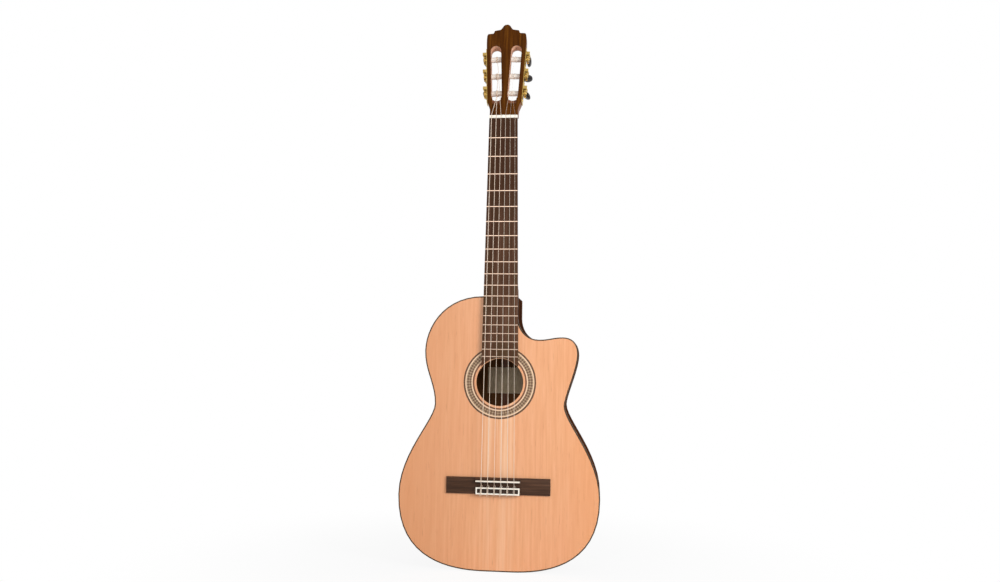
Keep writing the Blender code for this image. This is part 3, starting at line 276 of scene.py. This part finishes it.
PALE_FULL, PALE_GONE = 0.004, 0.050   # metres from the centre line, for the pale streaks
PALE_LOW, PALE_HIGH = 0.12, 0.20      # heights between which they grow stronger
RIM_SHADE_START, RIM_SHADE_END = 0.09, 0.18       # metres from the centre line, for the painted shade towards the rim
BASS_SHADE_X, BASS_SHADE_WIDTH = 0.02, 0.16   # painted shade darkens the bass half from this place over this width
RING_DEPTH = 0.00006
cedar, shader, here, (x, y, z) = finish("cedar", 0.40, coat=0.12, specular=0.35)
warmth = mottle(here, (14.0, 2.0, 5.0), 2.0)
bands = mottle(here, (240.0, 3.0, 10.0), 4.0, 0.65)
year_rings = mottle(bookmatched(x, y, z), (900.0, 10.0, 7.0), 3.0, 0.65)
ticks = mottle(here, (560.0, 20.0, 26.0), 2.0)
pale_lines = mottle(here, (150.0, 3.0, 2.4), 3.0)
middle = 1.0 - abs(x).eased(PALE_FULL, PALE_GONE)
rim_shade = abs(x).eased(RIM_SHADE_START, RIM_SHADE_END)
bass_shade = (BASS_SHADE_X - x).eased(0.0, BASS_SHADE_WIDTH)
board = ramped(bands, (0.30, tone(227, 159, 112)), (0.48, tone(234, 168, 121)), (0.70, tone(241, 179, 135)))
# Painted shade: the board is painted darker towards both edges, where the light falls off.
board = mixed(rim_shade * 0.40, board, tone(228, 150, 90))
# Painted shade: the bass half is painted darker, for the light that falls off towards it.
board = mixed(bass_shade * 0.45, board, tone(222, 154, 108))
board = mixed((warmth - 0.38) * 0.8, board, tone(238, 168, 126))
board = mixed((year_rings - 0.42) * 0.36, board, tone(203, 128, 80))
board = mixed(ticks.eased(0.63, 0.72) * 0.42, board, tone(180, 110, 66))
pale = middle * pale_lines.eased(0.40, 0.64) * (0.34 + 0.46 * z.eased(PALE_LOW, PALE_HIGH))
mixed(pale, board, tone(249, 206, 168)).feeds(shader.inputs["Base Color"])
(0.34 + year_rings * 0.12).feeds(shader.inputs["Roughness"])
embossed(year_rings, RING_DEPTH, shader)
paint_nodes(cedar, "soundboard")

# Rosette. Rings of dark and pale wood with a band of small mosaic tiles between them, cut flush and
# let into a channel round the soundhole.
ROSETTE_DARK = tone(98, 68, 46)
ROSETTE_PALE = tone(238, 204, 170)
ROSETTE_RED = tone(118, 74, 50)
OUTER_RING = 0.0030          # from the rosette's edge in to the end of its dark ring,
OUTER_PALE = 0.0052          # of the pale ring inside that,
MOSAIC_BAND = 0.0143         # of the mosaic
INNER_PALE = 0.0164          # and of the inner pale ring
MOSAIC_CELLS = 72            # pairs of tiles round the band
MOSAIC_ROW = 0.0042          # height of one row of tiles
low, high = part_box("rosette")
hole_z = (low[2] + high[2]) / 2
rosette_radius = (high[0] - low[0]) / 2
rosette, shader, here, (x, y, z) = finish("rosette_mosaic", 0.40, coat=0.12, specular=0.3)
rise = z - hole_z
radius = (x * x + rise * rise) ** 0.5
turn = here.math("ARCTAN2", rise, x) * (MOSAIC_CELLS / 2)
slope = radius * (pi / MOSAIC_ROW)
weave = (turn + slope).sine() * (turn - slope).sine() * 0.5 + 0.5
tiles = ramped(weave, (0.30, tone(104, 74, 55)), (0.50, tone(138, 110, 85)), (0.72, tone(176, 150, 118)))
tiles = mixed(mottle(here, (1500.0, 1.0, 1500.0)).eased(0.45, 0.70) * 0.5, tiles, tone(128, 104, 84))
inlay = mixed(radius > rosette_radius - INNER_PALE, ROSETTE_RED, ROSETTE_PALE)
inlay = mixed(radius > rosette_radius - MOSAIC_BAND, inlay, tiles)
inlay = mixed(radius > rosette_radius - OUTER_PALE, inlay, ROSETTE_PALE)
mixed(radius > rosette_radius - OUTER_RING, inlay, ROSETTE_DARK).feeds(shader.inputs["Base Color"])
(0.34 + mottle(here, (900.0, 900.0, 900.0)) * 0.10).feeds(shader.inputs["Roughness"])
paint_nodes(rosette, "rosette")

# Back and ribs. Bookmatched dark rosewood, bent on a hot iron for the ribs, under satin lacquer. A
# dark graft closes the ribs at the tail, and bindings of dark wood cover the edges.
PORE_SCALE = 9               # how much finer the pores are than the figure
PORE_DEPTH = 0.00004


def dark_wood(name, tones, scale, roughness, coat=0.0, specular=0.2, booked=False, painted_shade=None):
    """A dense wood of dark, middle and light tones: broad figure and fine pores along its grain.

    painted_shade, if there is any, gives the colour and the share of painted shade at a place (x, y, z).
    """
    made, shader, here, (x, y, z) = finish(name, roughness, coat=coat, specular=specular)
    if booked:
        here = bookmatched(x, y, z)
    figure = mottle(here, scale, 5.0, 0.6)
    pores = mottle(here, tuple(part * PORE_SCALE for part in scale), 2.0, 0.5)
    dark, base, light = (tone(*colour) for colour in tones)
    wood = ramped(figure, (0.32, dark), (0.50, base), (0.68, light))
    wood = mixed((pores > 0.60) * 0.45, wood, dark)
    if painted_shade:
        colour, share = painted_shade(x, y, z)
        wood = mixed(share, wood, colour)
    wood.feeds(shader.inputs["Base Color"])
    (roughness - 0.05 + pores * 0.14).feeds(shader.inputs["Roughness"])
    embossed(pores, PORE_DEPTH, shader)
    return made


def activate(piece):
    """Leave one object selected and active, for the operators."""
    bpy.ops.object.select_all(action="DESELECT")
    piece.select_set(True)
    bpy.context.view_layer.objects.active = piece


def copy_of(form, name):
    """Another object of the same form, with a mesh of its own."""
    piece = bpy.data.objects.new(name, form.data.copy())
    bpy.context.scene.collection.objects.link(piece)
    return piece


SMOOTH_ANGLE = radians(35)
FLAT_ANGLE = radians(0.5)    # faces that meet flatter than this become one
MERGE = 0.000002             # corners nearer than this are one
EASE_STEPS = 2               # faces across a softened edge
body_of = {name: body for body, names in frame["record"]["behaviour"]["bodies"].items() for name in names}


def eased_copy(name, material, ease=0.0):
    """A merged copy of a node with smooth round faces and, if wanted, softened edges, in its place."""
    piece = copy_of(nodes[name], name + "_finished")
    activate(piece)
    bpy.ops.mesh.customdata_custom_splitnormals_clear()
    bpy.ops.object.mode_set(mode="EDIT")
    bpy.ops.mesh.select_all(action="SELECT")
    bpy.ops.mesh.remove_doubles(threshold=MERGE)
    if ease:
        bpy.ops.mesh.dissolve_limited(angle_limit=FLAT_ANGLE)
    bpy.ops.object.mode_set(mode="OBJECT")
    if ease:
        bevel = piece.modifiers.new("ease", "BEVEL")
        bevel.width = ease
        bevel.segments = EASE_STEPS
        bevel.angle_limit = SMOOTH_ANGLE
        bpy.ops.object.modifier_apply(modifier="ease")
    bpy.ops.object.shade_smooth_by_angle(angle=SMOOTH_ANGLE)
    piece.data.materials.clear()
    piece.data.materials.append(material)
    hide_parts(name)
    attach(piece, body_of[name])
    return piece


BACK_GRAIN = (70.0, 70.0, 2.6)
INNER_FACE = -0.5            # a face of the back that looks further forward than this is inside the body
rosewood = dark_wood("rosewood", ((48, 26, 17), (72, 41, 26), (102, 62, 40)), BACK_GRAIN, 0.45,
                     specular=0.05, booked=True)
# The inner face of the back is bare rosewood, painted paler than that as painted light, for the light that
# falls in through the soundhole.
bare_rosewood_with_painted_light = dark_wood("bare_rosewood_with_painted_light", ((92, 58, 34), (112, 74, 44), (132, 90, 56)), BACK_GRAIN, 0.6,
                          specular=0.0, booked=True)
rib_rosewood = dark_wood("rib_rosewood", ((46, 25, 15), (70, 40, 25), (98, 60, 38)), (3.0, 110.0, 3.0), 0.55,
                         specular=0.0)
edging = dark_wood("edging", ((62, 48, 38), (84, 68, 54), (104, 88, 72)), (160.0, 160.0, 8.0), 0.42,
                   specular=0.05)
back = eased_copy("back", rosewood)
back.data.materials.append(bare_rosewood_with_painted_light)
for face in back.data.polygons:
    face.material_index = int(face.normal.y < INNER_FACE)
for name in ("rib_bass", "rib_treble"):
    eased_copy(name, rib_rosewood)
eased_copy("tail_graft", rosewood)
for name in ("binding_top", "binding_back"):
    eased_copy(name, edging)

# Inside of the body. Bare sanded spruce bars and fan struts, linings sawn through every few
# millimetres so that they bend, and a mahogany tail block, all glued before the box is closed.
KERFS = 130                  # saw cuts round the body
KERF_DEPTH = 0.0012
FIBRE_DEPTH = 0.00008


def bare_spruce(name, scale):
    """A new spruce material, its shader, the place as (x, z), its fibres and their colour."""
    made, shader, here, (x, _, z) = finish(name, 0.62, specular=0.2)
    fibre = mottle(here, scale, 4.0)
    colour = ramped(fibre, (0.35, tone(196, 158, 112)), (0.65, tone(226, 196, 150)))
    return made, shader, (x, z), fibre, colour


spruce, shader, _, fibre, colour = bare_spruce("spruce", (420.0, 420.0, 12.0))
colour.feeds(shader.inputs["Base Color"])
embossed(fibre, FIBRE_DEPTH, shader)
paint_nodes(spruce, "top_bracing")
kerfed, shader, (x, z), _, colour = bare_spruce("kerfed_spruce", (200.0, 420.0, 200.0))
lining_low, lining_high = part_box("lining_top")
bearing = x.math("ARCTAN2", z - (lining_low[2] + lining_high[2]) / 2, x)
kerf_and_shade = (bearing * KERFS).sine().eased(0.80, 0.95)
# Painted shade: the saw cuts of the lining are painted dark brown; the same mask presses them in.
mixed(kerf_and_shade, colour, tone(84, 58, 36)).feeds(shader.inputs["Base Color"])
embossed(1.0 - kerf_and_shade, KERF_DEPTH, shader)
paint_nodes(kerfed, "lining_top", "lining_back")
NECK_GRAIN = (150.0, 150.0, 5.0)
mahogany = dark_wood("mahogany", ((92, 50, 28), (122, 70, 40), (150, 94, 58)), NECK_GRAIN, 0.42, coat=0.08)
paint_nodes(mahogany, "tail_block", "back_bracing")

# Label. A blank slip of aged paper, pasted on the inner face of the back under the soundhole and
# pressed down over the strip that covers the joint of the back.
LABEL_LOW, LABEL_HIGH = Vector((-0.0325, 0.0, 0.3072)), Vector((0.0400, 0.0, 0.3560))
LABEL_CUTS = 30
PASTE = 0.0002               # from the wood to the paper
PAPER = 0.00015              # thickness of the paper
PULP_DEPTH = 0.00003
STRIP_HALF = 0.0092          # half the width of the strip
STRIP_RAMP = 0.0110          # over which the paper comes down beside it
BACKWARD = Vector((0.0, 1.0, 0.0))
bpy.ops.object.select_all(action="DESELECT")
bpy.ops.mesh.primitive_plane_add(size=1.0, rotation=(radians(90), 0.0, 0.0))
label = bpy.context.object
label.name = "label"
label.scale = ((LABEL_HIGH - LABEL_LOW).x, (LABEL_HIGH - LABEL_LOW).z, 1.0)
label.location = (LABEL_LOW + LABEL_HIGH) / 2
bpy.ops.object.transform_apply(location=True, rotation=True, scale=True)
bpy.ops.object.mode_set(mode="EDIT")
bpy.ops.mesh.select_all(action="SELECT")
bpy.ops.mesh.subdivide(number_cuts=LABEL_CUTS)
bpy.ops.object.mode_set(mode="OBJECT")
bpy.context.view_layer.update()
for corner in label.data.vertices:
    _, wood_spot, _, _ = back.ray_cast(Vector((corner.co.x, 0.0, corner.co.z)), BACKWARD)
    _, strip_spot, _, _ = nodes["back_bracing"].ray_cast(Vector((0.0, 0.0, corner.co.z)), BACKWARD)
    pressed = min(max((abs(corner.co.x) - STRIP_HALF) / STRIP_RAMP, 0.0), 1.0)
    corner.co.y = strip_spot.y + (wood_spot.y - strip_spot.y) * pressed - PASTE
activate(label)
paper = label.modifiers.new("paper", "SOLIDIFY")
paper.thickness = PAPER
bpy.ops.object.modifier_apply(modifier="paper")
bpy.ops.object.shade_smooth_by_angle(angle=SMOOTH_ANGLE)
label_paper, shader, here, _ = finish("label_paper", 0.75, specular=0.2)
stain = mottle(here, (60.0, 60.0, 60.0), 5.0)
pulp = mottle(here, (1800.0, 1800.0, 1800.0), 2.0)
aged = ramped(stain, (0.30, tone(206, 182, 148)), (0.70, tone(232, 212, 180)))
mixed((pulp > 0.62) * 0.25, aged, tone(170, 150, 118)).feeds(shader.inputs["Base Color"])
embossed(pulp, PULP_DEPTH, shader)
label.data.materials.append(label_paper)
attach(label, "guitar_body")

# Neck and head. One piece of mahogany with a heel, the head joined on at an angle, and a brown
# veneer with straight reddish grain on its face; two slots are sawn through both and left pale.
SLOT_FOOT, SLOT_TOP = 0.8380, 0.9680  # the slots lie between these heights,
SLOT_SIDE = 0.0295           # and nearer to the middle of the head than this at their foot;
SLOT_LEAN = 0.04             # the limit leans out with the sides of the head
SLOT_WALL = 0.6              # and a wall of a slot looks less far forward or back than this
HEAD_EASE = 0.0004           # softening of the edges
eased_copy("neck", mahogany)
slot_mahogany = dark_wood("slot_mahogany", ((204, 150, 120), (220, 170, 140), (232, 188, 160)), NECK_GRAIN,
                          0.55)
head = eased_copy("headstock", mahogany, HEAD_EASE)
head.data.materials.append(slot_mahogany)
for face in head.data.polygons:
    beside = abs(face.center.x) < SLOT_SIDE + (face.center.z - SLOT_FOOT) * SLOT_LEAN
    in_slot = beside and SLOT_FOOT < face.center.z < SLOT_TOP and abs(face.normal.y) < SLOT_WALL
    face.material_index = int(in_slot)
veneer = dark_wood("head_veneer", ((66, 32, 6), (85, 45, 8), (113, 67, 18)), (210.0, 40.0, 5.0), 0.45,
                   specular=0.04)
eased_copy("headstock_veneer", veneer, HEAD_EASE)

# Fretboard. A flat board of dark brown wood with reddish and olive streaks along it and painted shade
# towards the nut, glued to the neck and the soundboard. Nickel silver frets are hammered into sawn slots.
BOARD_SHADE_FROM, BOARD_SHADE_TO = 0.42, 0.78   # heights between which the painted shade grows darker
fretboard, shader, here, (_, _, z) = finish("fretboard_wood", 0.55, specular=0.05)
streaks = mottle(here, (230.0, 40.0, 7.0), 4.0, 0.6)
olive = mottle(here, (150.0, 40.0, 11.0), 2.0)
pores = mottle(here, (2600.0, 300.0, 60.0), 2.0)
plank = ramped(streaks, (0.32, tone(74, 49, 36)), (0.50, tone(91, 63, 47)), (0.68, tone(110, 79, 63)))
plank = mixed(olive.eased(0.48, 0.66) * 0.6, plank, tone(80, 63, 42))
# Painted shade: the board is painted darker towards the nut, where the light falls off.
plank = mixed(z.eased(BOARD_SHADE_FROM, BOARD_SHADE_TO) * 0.8, plank, tone(62, 38, 24))
mixed((pores > 0.62) * 0.35, plank, tone(56, 36, 28)).feeds(shader.inputs["Base Color"])
(0.48 + pores * 0.14).feeds(shader.inputs["Roughness"])
embossed(pores, PORE_DEPTH, shader)
paint_nodes(fretboard, "fretboard")
fret_metal, shader, here, _ = finish("fret_metal", 0.26, metallic=1.0)
rub = mottle(here, (40.0, 2400.0, 2400.0), 3.0)
ramped(rub, (0.3, tone(176, 150, 130)), (0.7, tone(206, 180, 160))).feeds(shader.inputs["Base Color"])
(0.20 + rub * 0.16).feeds(shader.inputs["Roughness"])
paint_nodes(fret_metal, *(name for name in nodes if name.startswith("fret_")))

# Bridge. One block of dark wood with thin wings, its grain across the guitar, glued on the soundboard.
# The strings are tied to its tie block, below the saddle; shade is painted on the wood inside its frame.
WINDOW_BORDER = 0.0024       # width of the frame round the dyed wood
SHADE_DEPTH = 0.0004           # depth of the painted shade under the seat of the frame
BRIDGE_EASE = 0.0005
tie_low, tie_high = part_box("tie_block_inlay")


def tie_window_shade(x, y, z):
    """Colour and share of the painted shade inside the frame of the tie block."""
    tall = (z > tie_low[2] + WINDOW_BORDER) * (z < tie_high[2] - WINDOW_BORDER)
    wide = abs(x) < tie_high[0] - WINDOW_BORDER
    # Painted shade: the wood inside the frame is painted dark, where the frame and strings shade it.
    return tone(34, 26, 22), tall * wide * (y < tie_high[1] + SHADE_DEPTH) * 0.75


bridge_wood = dark_wood("bridge_wood", ((52, 33, 21), (70, 46, 31), (92, 63, 45)), (9.0, 300.0, 300.0), 0.52,
                        specular=0.18, painted_shade=tie_window_shade)
eased_copy("bridge", bridge_wood, BRIDGE_EASE)

# Nut, saddle and the frame of the tie block. Polished bone, the nut and the saddle pressed into
# their seats and the frame inlaid on the tie block to guard its edges.
BONE_EASES = {"nut": 0.0002, "saddle": 0.0003, "tie_block_inlay": 0.0002}
bone, shader, here, _ = finish("bone", 0.30, coat=0.15)
flecks = mottle(here, (260.0, 900.0, 900.0), 4.0)
ramped(flecks, (0.3, tone(250, 240, 222)), (0.7, tone(255, 251, 242))).feeds(shader.inputs["Base Color"])
(0.24 + flecks * 0.14).feeds(shader.inputs["Roughness"])
for name, ease in BONE_EASES.items():
    eased_copy(name, bone, ease)


# Tuning machines. Gold plated side plates carry the worms; each worm turns the cog on the end of a
# white roller, and the roller turns in the wood of the head.
def gold_shades(here):
    """Colour and roughness of worn gold plating."""
    wear = mottle(here, (260.0, 260.0, 260.0), 2.0)
    return ramped(wear, (0.3, tone(172, 138, 70)), (0.7, tone(204, 174, 104))), 0.18 + wear * 0.16


def roller_shades(here):
    """Colour and roughness of the white barrel of a roller."""
    sheen = mottle(here, (300.0, 900.0, 900.0), 3.0)
    return ramped(sheen, (0.3, tone(226, 215, 203)), (0.7, tone(240, 232, 222))), 0.30 + sheen * 0.14


gold, shader, here, _ = finish("gold_plate", 0.3, metallic=1.0)
gold_colour, gold_rough = gold_shades(here)
gold_colour.feeds(shader.inputs["Base Color"])
gold_rough.feeds(shader.inputs["Roughness"])
for name in ("tuner_plate_bass", "tuner_plate_treble"):
    eased_copy(name, gold)
STRINGS = range(1, 7)        # the first is the highest, on the treble side
TREBLES = 3                  # of the strings are on the treble side
COG_START = 0.0045           # from the head's side in to the end of the white barrel
joints = {joint["name"]: joint for joint in frame["record"]["behaviour"]["joints"]}
worm_axis = Vector(joints["button_1_turn"]["axis"])


def machine(number):
    """Outward axis of a machine, the way up the head, and the place of its roller."""
    joint = joints["roller_%d_turn" % number]
    axis = Vector(joint["axis"])
    outward = axis if number <= TREBLES else -axis
    return outward, axis.cross(worm_axis), Vector(joint["pos_m"])


for number in STRINGS:
    outward, _, place = machine(number)
    made, shader, here, _ = finish("roller_%d_finish" % number, 0.3)
    reach = here.node("ShaderNodeVectorMath", {"operation": "DOT_PRODUCT"}, {0: here, 1: outward}, "Value")
    cog = reach > outward.dot(place) - COG_START
    white_colour, white_rough = roller_shades(here)
    gold_colour, gold_rough = gold_shades(here)
    mixed(cog, white_colour, gold_colour).feeds(shader.inputs["Base Color"])
    (white_rough * (1.0 - cog) + gold_rough * cog).feeds(shader.inputs["Roughness"])
    cog.feeds(shader.inputs["Metallic"])
    eased_copy("roller_%d" % number, made)
    paint_nodes(gold, "button_%d" % number)

# Buttons. Smooth oval knobs of dark glossy plastic, pressed on the flattened ends of the worm shafts.
# Each covers the solid of its button, by a thin skin round its sides and a tenth more in length.
KNOB_START = 0.0140          # from the middle of the worm to the foot of its button
KNOB_SKIN = 0.00025          # the knob's skin over the solid that it covers
KNOB_SIDES = 32
KNOB_STEPS = 16
KNOB_TIP = 0.985             # the end rings lie this far out, so that the ends are closed by small flats
KNOB_MIDDLE, KNOB_HALF = 0.52, 0.55   # its middle and half its length, in lengths of that solid
KNOB_WIDE, KNOB_THICK = 2.6, 3.4      # powers of the rounded outlines of its face and its edge
ROUND_ANGLE = radians(60)    # edges of round pieces are smooth up to this angle
plastic, shader, here, _ = finish("button_black", 0.12, coat=0.10, specular=0.2)
cloud = mottle(here, (160.0, 160.0, 420.0), 4.0)
ramped(cloud, (0.35, tone(12, 7, 8)), (0.75, tone(38, 22, 22))).feeds(shader.inputs["Base Color"])
(0.08 + cloud * 0.08).feeds(shader.inputs["Roughness"])


def knob_ring(step):
    """Place of a ring from -1 to 1 along the knob, and its half width and half thickness there."""
    part = -KNOB_TIP * cos(pi * step / KNOB_STEPS)
    return part, *((1.0 - abs(part) ** power) ** (1.0 / power) for power in (KNOB_WIDE, KNOB_THICK))


bpy.ops.object.select_all(action="DESELECT")
bpy.ops.mesh.primitive_circle_add(vertices=KNOB_SIDES, radius=1.0, fill_type="NGON")
knob_form = bpy.context.object
bpy.ops.object.mode_set(mode="EDIT")
bpy.ops.mesh.select_all(action="SELECT")
part, wide, thick = knob_ring(0)
bpy.ops.transform.translate(value=(0.0, 0.0, part))
bpy.ops.transform.resize(value=(wide, thick, 1.0), center_override=(0.0, 0.0, part))
for step in range(1, KNOB_STEPS + 1):
    next_part, next_wide, next_thick = knob_ring(step)
    bpy.ops.mesh.extrude_region_move(TRANSFORM_OT_translate={"value": (0.0, 0.0, next_part - part)})
    bpy.ops.transform.resize(value=(next_wide / wide, next_thick / thick, 1.0),
                             center_override=(0.0, 0.0, next_part))
    part, wide, thick = next_part, next_wide, next_thick
bpy.ops.mesh.select_all(action="SELECT")
bpy.ops.mesh.normals_make_consistent(inside=False)
bpy.ops.object.mode_set(mode="OBJECT")
knob_form.data.materials.append(plastic)
for number in STRINGS:
    centre = Vector(joints["button_%d_turn" % number]["pos_m"])
    offsets = [vertex.co - centre for vertex in nodes["button_%d" % number].data.vertices]
    solid = [offset for offset in offsets if offset.dot(worm_axis) > KNOB_START]
    reaches = [offset.dot(worm_axis) for offset in solid]
    start, length = min(reaches), max(reaches) - min(reaches)
    flats = [offset - worm_axis * offset.dot(worm_axis) for offset in solid]
    widest = max(flats, key=lambda flat: flat.length)
    thin_axis = worm_axis.cross(widest.normalized())
    half_thickness = max(flat.dot(thin_axis) for flat in flats) + KNOB_SKIN
    axes = Matrix((widest.normalized() * (widest.length + KNOB_SKIN), thin_axis * half_thickness,
                   worm_axis * length * KNOB_HALF)).transposed().to_4x4()
    knob = copy_of(knob_form, "knob_%d" % number)
    knob.data.transform(Matrix.Translation(centre + worm_axis * (start + length * KNOB_MIDDLE)) @ axes)
    activate(knob)
    bpy.ops.object.shade_smooth_by_angle(angle=ROUND_ANGLE)
    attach(knob, "button_%d" % number)
bpy.data.objects.remove(knob_form)

# Screws of the machines. Slotted dome heads of gold plated steel, four in each side plate and one on
# the end of each roller, where it holds the cog.
SCREW_RADIUS = 0.0021
SCREW_HEIGHT = 0.0011
SCREW_SLOT = 0.0005          # width of the slot
SLOT_REACH = 3               # radii, the length of the tool that cuts it
SCREW_SIDES, SCREW_RINGS = 24, 12
PLATE_FACE = 0.00132         # outward from the head's side to the face of the plate
COG_FACE = 0.00662           # outward from the head's side to the face of the cog
PLATE_SCREWS = (-0.0495, -0.0154, 0.0200, 0.0518)   # up the plate, from the middle roller
FIRST_TURN, NEXT_TURN = 0.3, 0.9      # radians, where the slots of a plate's screws come to rest
COG_SCREW_TURN = 1.3         # radians from one cog's screw to the next
bpy.ops.object.select_all(action="DESELECT")
bpy.ops.mesh.primitive_uv_sphere_add(segments=SCREW_SIDES, ring_count=SCREW_RINGS, radius=SCREW_RADIUS)
screw = bpy.context.object
bpy.ops.object.mode_set(mode="EDIT")
bpy.ops.mesh.select_all(action="SELECT")
bpy.ops.mesh.bisect(plane_co=(0.0, 0.0, 0.0), plane_no=(0.0, 0.0, 1.0), use_fill=True, clear_inner=True)
bpy.ops.mesh.select_all(action="SELECT")
bpy.ops.transform.resize(value=(1.0, 1.0, SCREW_HEIGHT / SCREW_RADIUS), center_override=(0.0, 0.0, 0.0))
bpy.ops.object.mode_set(mode="OBJECT")
bpy.ops.object.select_all(action="DESELECT")
bpy.ops.mesh.primitive_cube_add(size=1.0, location=(0.0, 0.0, SCREW_HEIGHT))
slot_tool = bpy.context.object
slot_tool.scale = (SLOT_REACH * SCREW_RADIUS, SCREW_SLOT, SCREW_HEIGHT)
bpy.ops.object.transform_apply(location=True, rotation=True, scale=True)
activate(screw)
sawn = screw.modifiers.new("sawn", "BOOLEAN")
sawn.object = slot_tool
bpy.ops.object.modifier_apply(modifier="sawn")
bpy.ops.object.shade_smooth_by_angle(angle=SMOOTH_ANGLE)
screw.data.materials.append(gold)
bpy.data.objects.remove(slot_tool)


def drive_screw(name, place, outward, along, turned, body):
    """A copy of the screw with its dome outwards and its slot turned from the way up the head."""
    slot_way = along * cos(turned) + outward.cross(along) * sin(turned)
    axes = Matrix((slot_way, outward.cross(slot_way), outward)).transposed().to_4x4()
    driven = copy_of(screw, name)
    driven.data.transform(Matrix.Translation(place) @ axes)
    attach(driven, body)


for edge, middle_roller in (("treble", 2), ("bass", 5)):
    outward, along, place = machine(middle_roller)
    for k, height in enumerate(PLATE_SCREWS):
        drive_screw("plate_screw_%s_%d" % (edge, k + 1), place + along * height + outward * PLATE_FACE,
                    outward, along, FIRST_TURN + NEXT_TURN * k, "guitar_body")
for number in STRINGS:
    outward, along, place = machine(number)
    drive_screw("cog_screw_%d" % number, place + outward * COG_FACE, outward, along, COG_SCREW_TURN * number,
                "roller_%d" % number)
bpy.data.objects.remove(screw)

# Strings. Three of clear nylon on the treble side and three wound with silver plated wire on the
# bass side. Each is tied round the bridge's tie block and wound on its roller.
WINDING = 0.00045            # along the string, from one turn of wire to the next
COIL_DEPTH = 0.00005
STRAND_STEPS = 4             # parts of a strand between two of its points
STRAND_ROUND = 2             # how finely it is rounded
CLEAR_FROM, CLEAR_TO = 0.22, 0.52     # heights between which the nylon seems to grow clearer,
HEAD_FROM, HEAD_TO = 0.80, 0.82       # and again where it leaves the nut
nylon, shader, here, (_, _, z) = finish("nylon", 0.24, specular=0.4)
clear = mottle(here, (300.0, 300.0, 30.0), 2.0)
ramped(clear, (0.3, tone(246, 228, 208)), (0.7, tone(255, 244, 230))).feeds(shader.inputs["Base Color"])
cover = 0.85 - 0.55 * z.eased(CLEAR_FROM, CLEAR_TO) - 0.15 * z.eased(HEAD_FROM, HEAD_TO)
cover.feeds(shader.inputs["Alpha"])
wound, shader, _, (_, _, z) = finish("wound_silver", 0.35, metallic=0.25)
coil = (z * (2 * pi / WINDING)).sine()
# Painted shade: the colour darkens in the grooves between the turns of wire, following the same wave as their
# bumps.
silver_with_groove_shade = ramped(coil * 0.5 + 0.5, (0.2, tone(228, 204, 182)), (0.8, tone(252, 236, 218)))
silver_with_groove_shade.feeds(shader.inputs["Base Color"])
embossed(coil, COIL_DEPTH, shader)
for number in STRINGS:
    paint_nodes(nylon if number <= TREBLES else wound, "string_%d" % number)


def strand(name, points, radius, number, body):
    """A length of string along a smooth curve through its points."""
    bpy.ops.object.select_all(action="DESELECT")
    bpy.ops.curve.primitive_bezier_curve_add()
    piece = bpy.context.object
    piece.name = name
    piece.data.splines.clear()
    line = piece.data.splines.new("BEZIER")
    line.bezier_points.add(len(points) - 1)
    for knot, point in zip(line.bezier_points, points):
        knot.co = point
        knot.handle_left_type = knot.handle_right_type = "AUTO"
    piece.data.resolution_u = STRAND_STEPS
    piece.data.bevel_depth = radius
    piece.data.bevel_resolution = STRAND_ROUND
    piece.data.use_fill_caps = True
    bpy.ops.object.convert(target="MESH")
    bpy.ops.object.shade_smooth_by_angle(angle=ROUND_ANGLE)
    piece.data.materials.append(nylon if number <= TREBLES else wound)
    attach(piece, body)


LOW_RING = 0.0002            # the corners of a string's lower end lie within this height,
HIGH_RING = 0.0014           # and those of its upper end within this distance of the highest


def string_ends(number):
    """Middle of a string's lower and upper end, and its radius, from its node."""
    corners = [vertex.co for vertex in nodes["string_%d" % number].data.vertices]
    lowest, highest = (choose(corners, key=lambda c: c.z) for choose in (min, max))
    low_ring = [c for c in corners if c.z < lowest.z + LOW_RING]
    high_ring = [c for c in corners if (c - highest).length < HIGH_RING]
    bottom, top = (sum(ring, Vector()) / len(ring) for ring in (low_ring, high_ring))
    return bottom, top, max((c - bottom).length for c in low_ring)


WRAPS = 3.5                  # turns of string on a roller
WRAP_STEPS = 12              # points of one turn
WRAP_LEAD = 1                # points under the string's end, so that a turned roller shows no gap
WRAP_PITCH = 2.1             # radii from one turn to the next
TUCK = 0.0012                # how deep the end goes into the roller
WINDOW_LIFT = 1.4            # radii from the wood with painted shade to the middle of a string on it
face, foot, top_edge = tie_low[1], tie_low[2], tie_high[2]
middle_z = (foot + top_edge) / 2
for number in STRINGS:
    bottom, top, radius = string_ends(number)
    outward, along, place = machine(number)
    offset = (top - place).dot(outward)
    radial = top - place - outward * offset
    front = radial.normalized()
    wraps = []
    for k in range(-WRAP_LEAD, int(WRAPS * WRAP_STEPS) + 1):
        angle = 2 * pi * k / WRAP_STEPS
        swing = front * cos(angle) + along * sin(angle)
        shift = offset + WRAP_PITCH * radius * k / WRAP_STEPS
        wraps.append(place + outward * shift + swing * radial.length)
    wraps.append(wraps[-1] - swing * TUCK + outward * radius)
    strand("string_%d_wraps" % number, wraps, radius, number, "roller_%d" % number)
    hole = bottom.y
    over = face - radius
    window = tie_high[1] - WINDOW_LIFT * radius
    knot = [(0.0, hole, foot + 0.0010), (0.0002, hole, foot - 0.0012),
            (0.0003, (hole + face) / 2, foot - 0.0016), (0.0004, over + 0.0004, foot - 0.0004),
            (0.0005, over, foot + 0.0022), (0.0006, window, middle_z),
            (0.0008, over, top_edge - 0.0014), (0.0016, over + 0.0020, top_edge + 0.0013),
            (0.0014, hole + 0.0010, top_edge + 0.0022), (-0.0004, hole + 0.0014, top_edge + 0.0026),
            (-0.0014, hole - 0.0012, top_edge + 0.0018), (-0.0010, over - 0.0002, top_edge - 0.0004),
            (-0.0010, over, top_edge - 0.0022), (-0.0011, window, middle_z),
            (-0.0013, over, foot + 0.0014), (-0.0016, over + 0.0006, foot - 0.0014),
            (-0.0020, over + 0.0022, foot - 0.0030)]
    tie = [(bottom.x + across, deep, high_up) for across, deep, high_up in knot]
    strand("string_%d_tie" % number, tie, radius, number, "guitar_body")
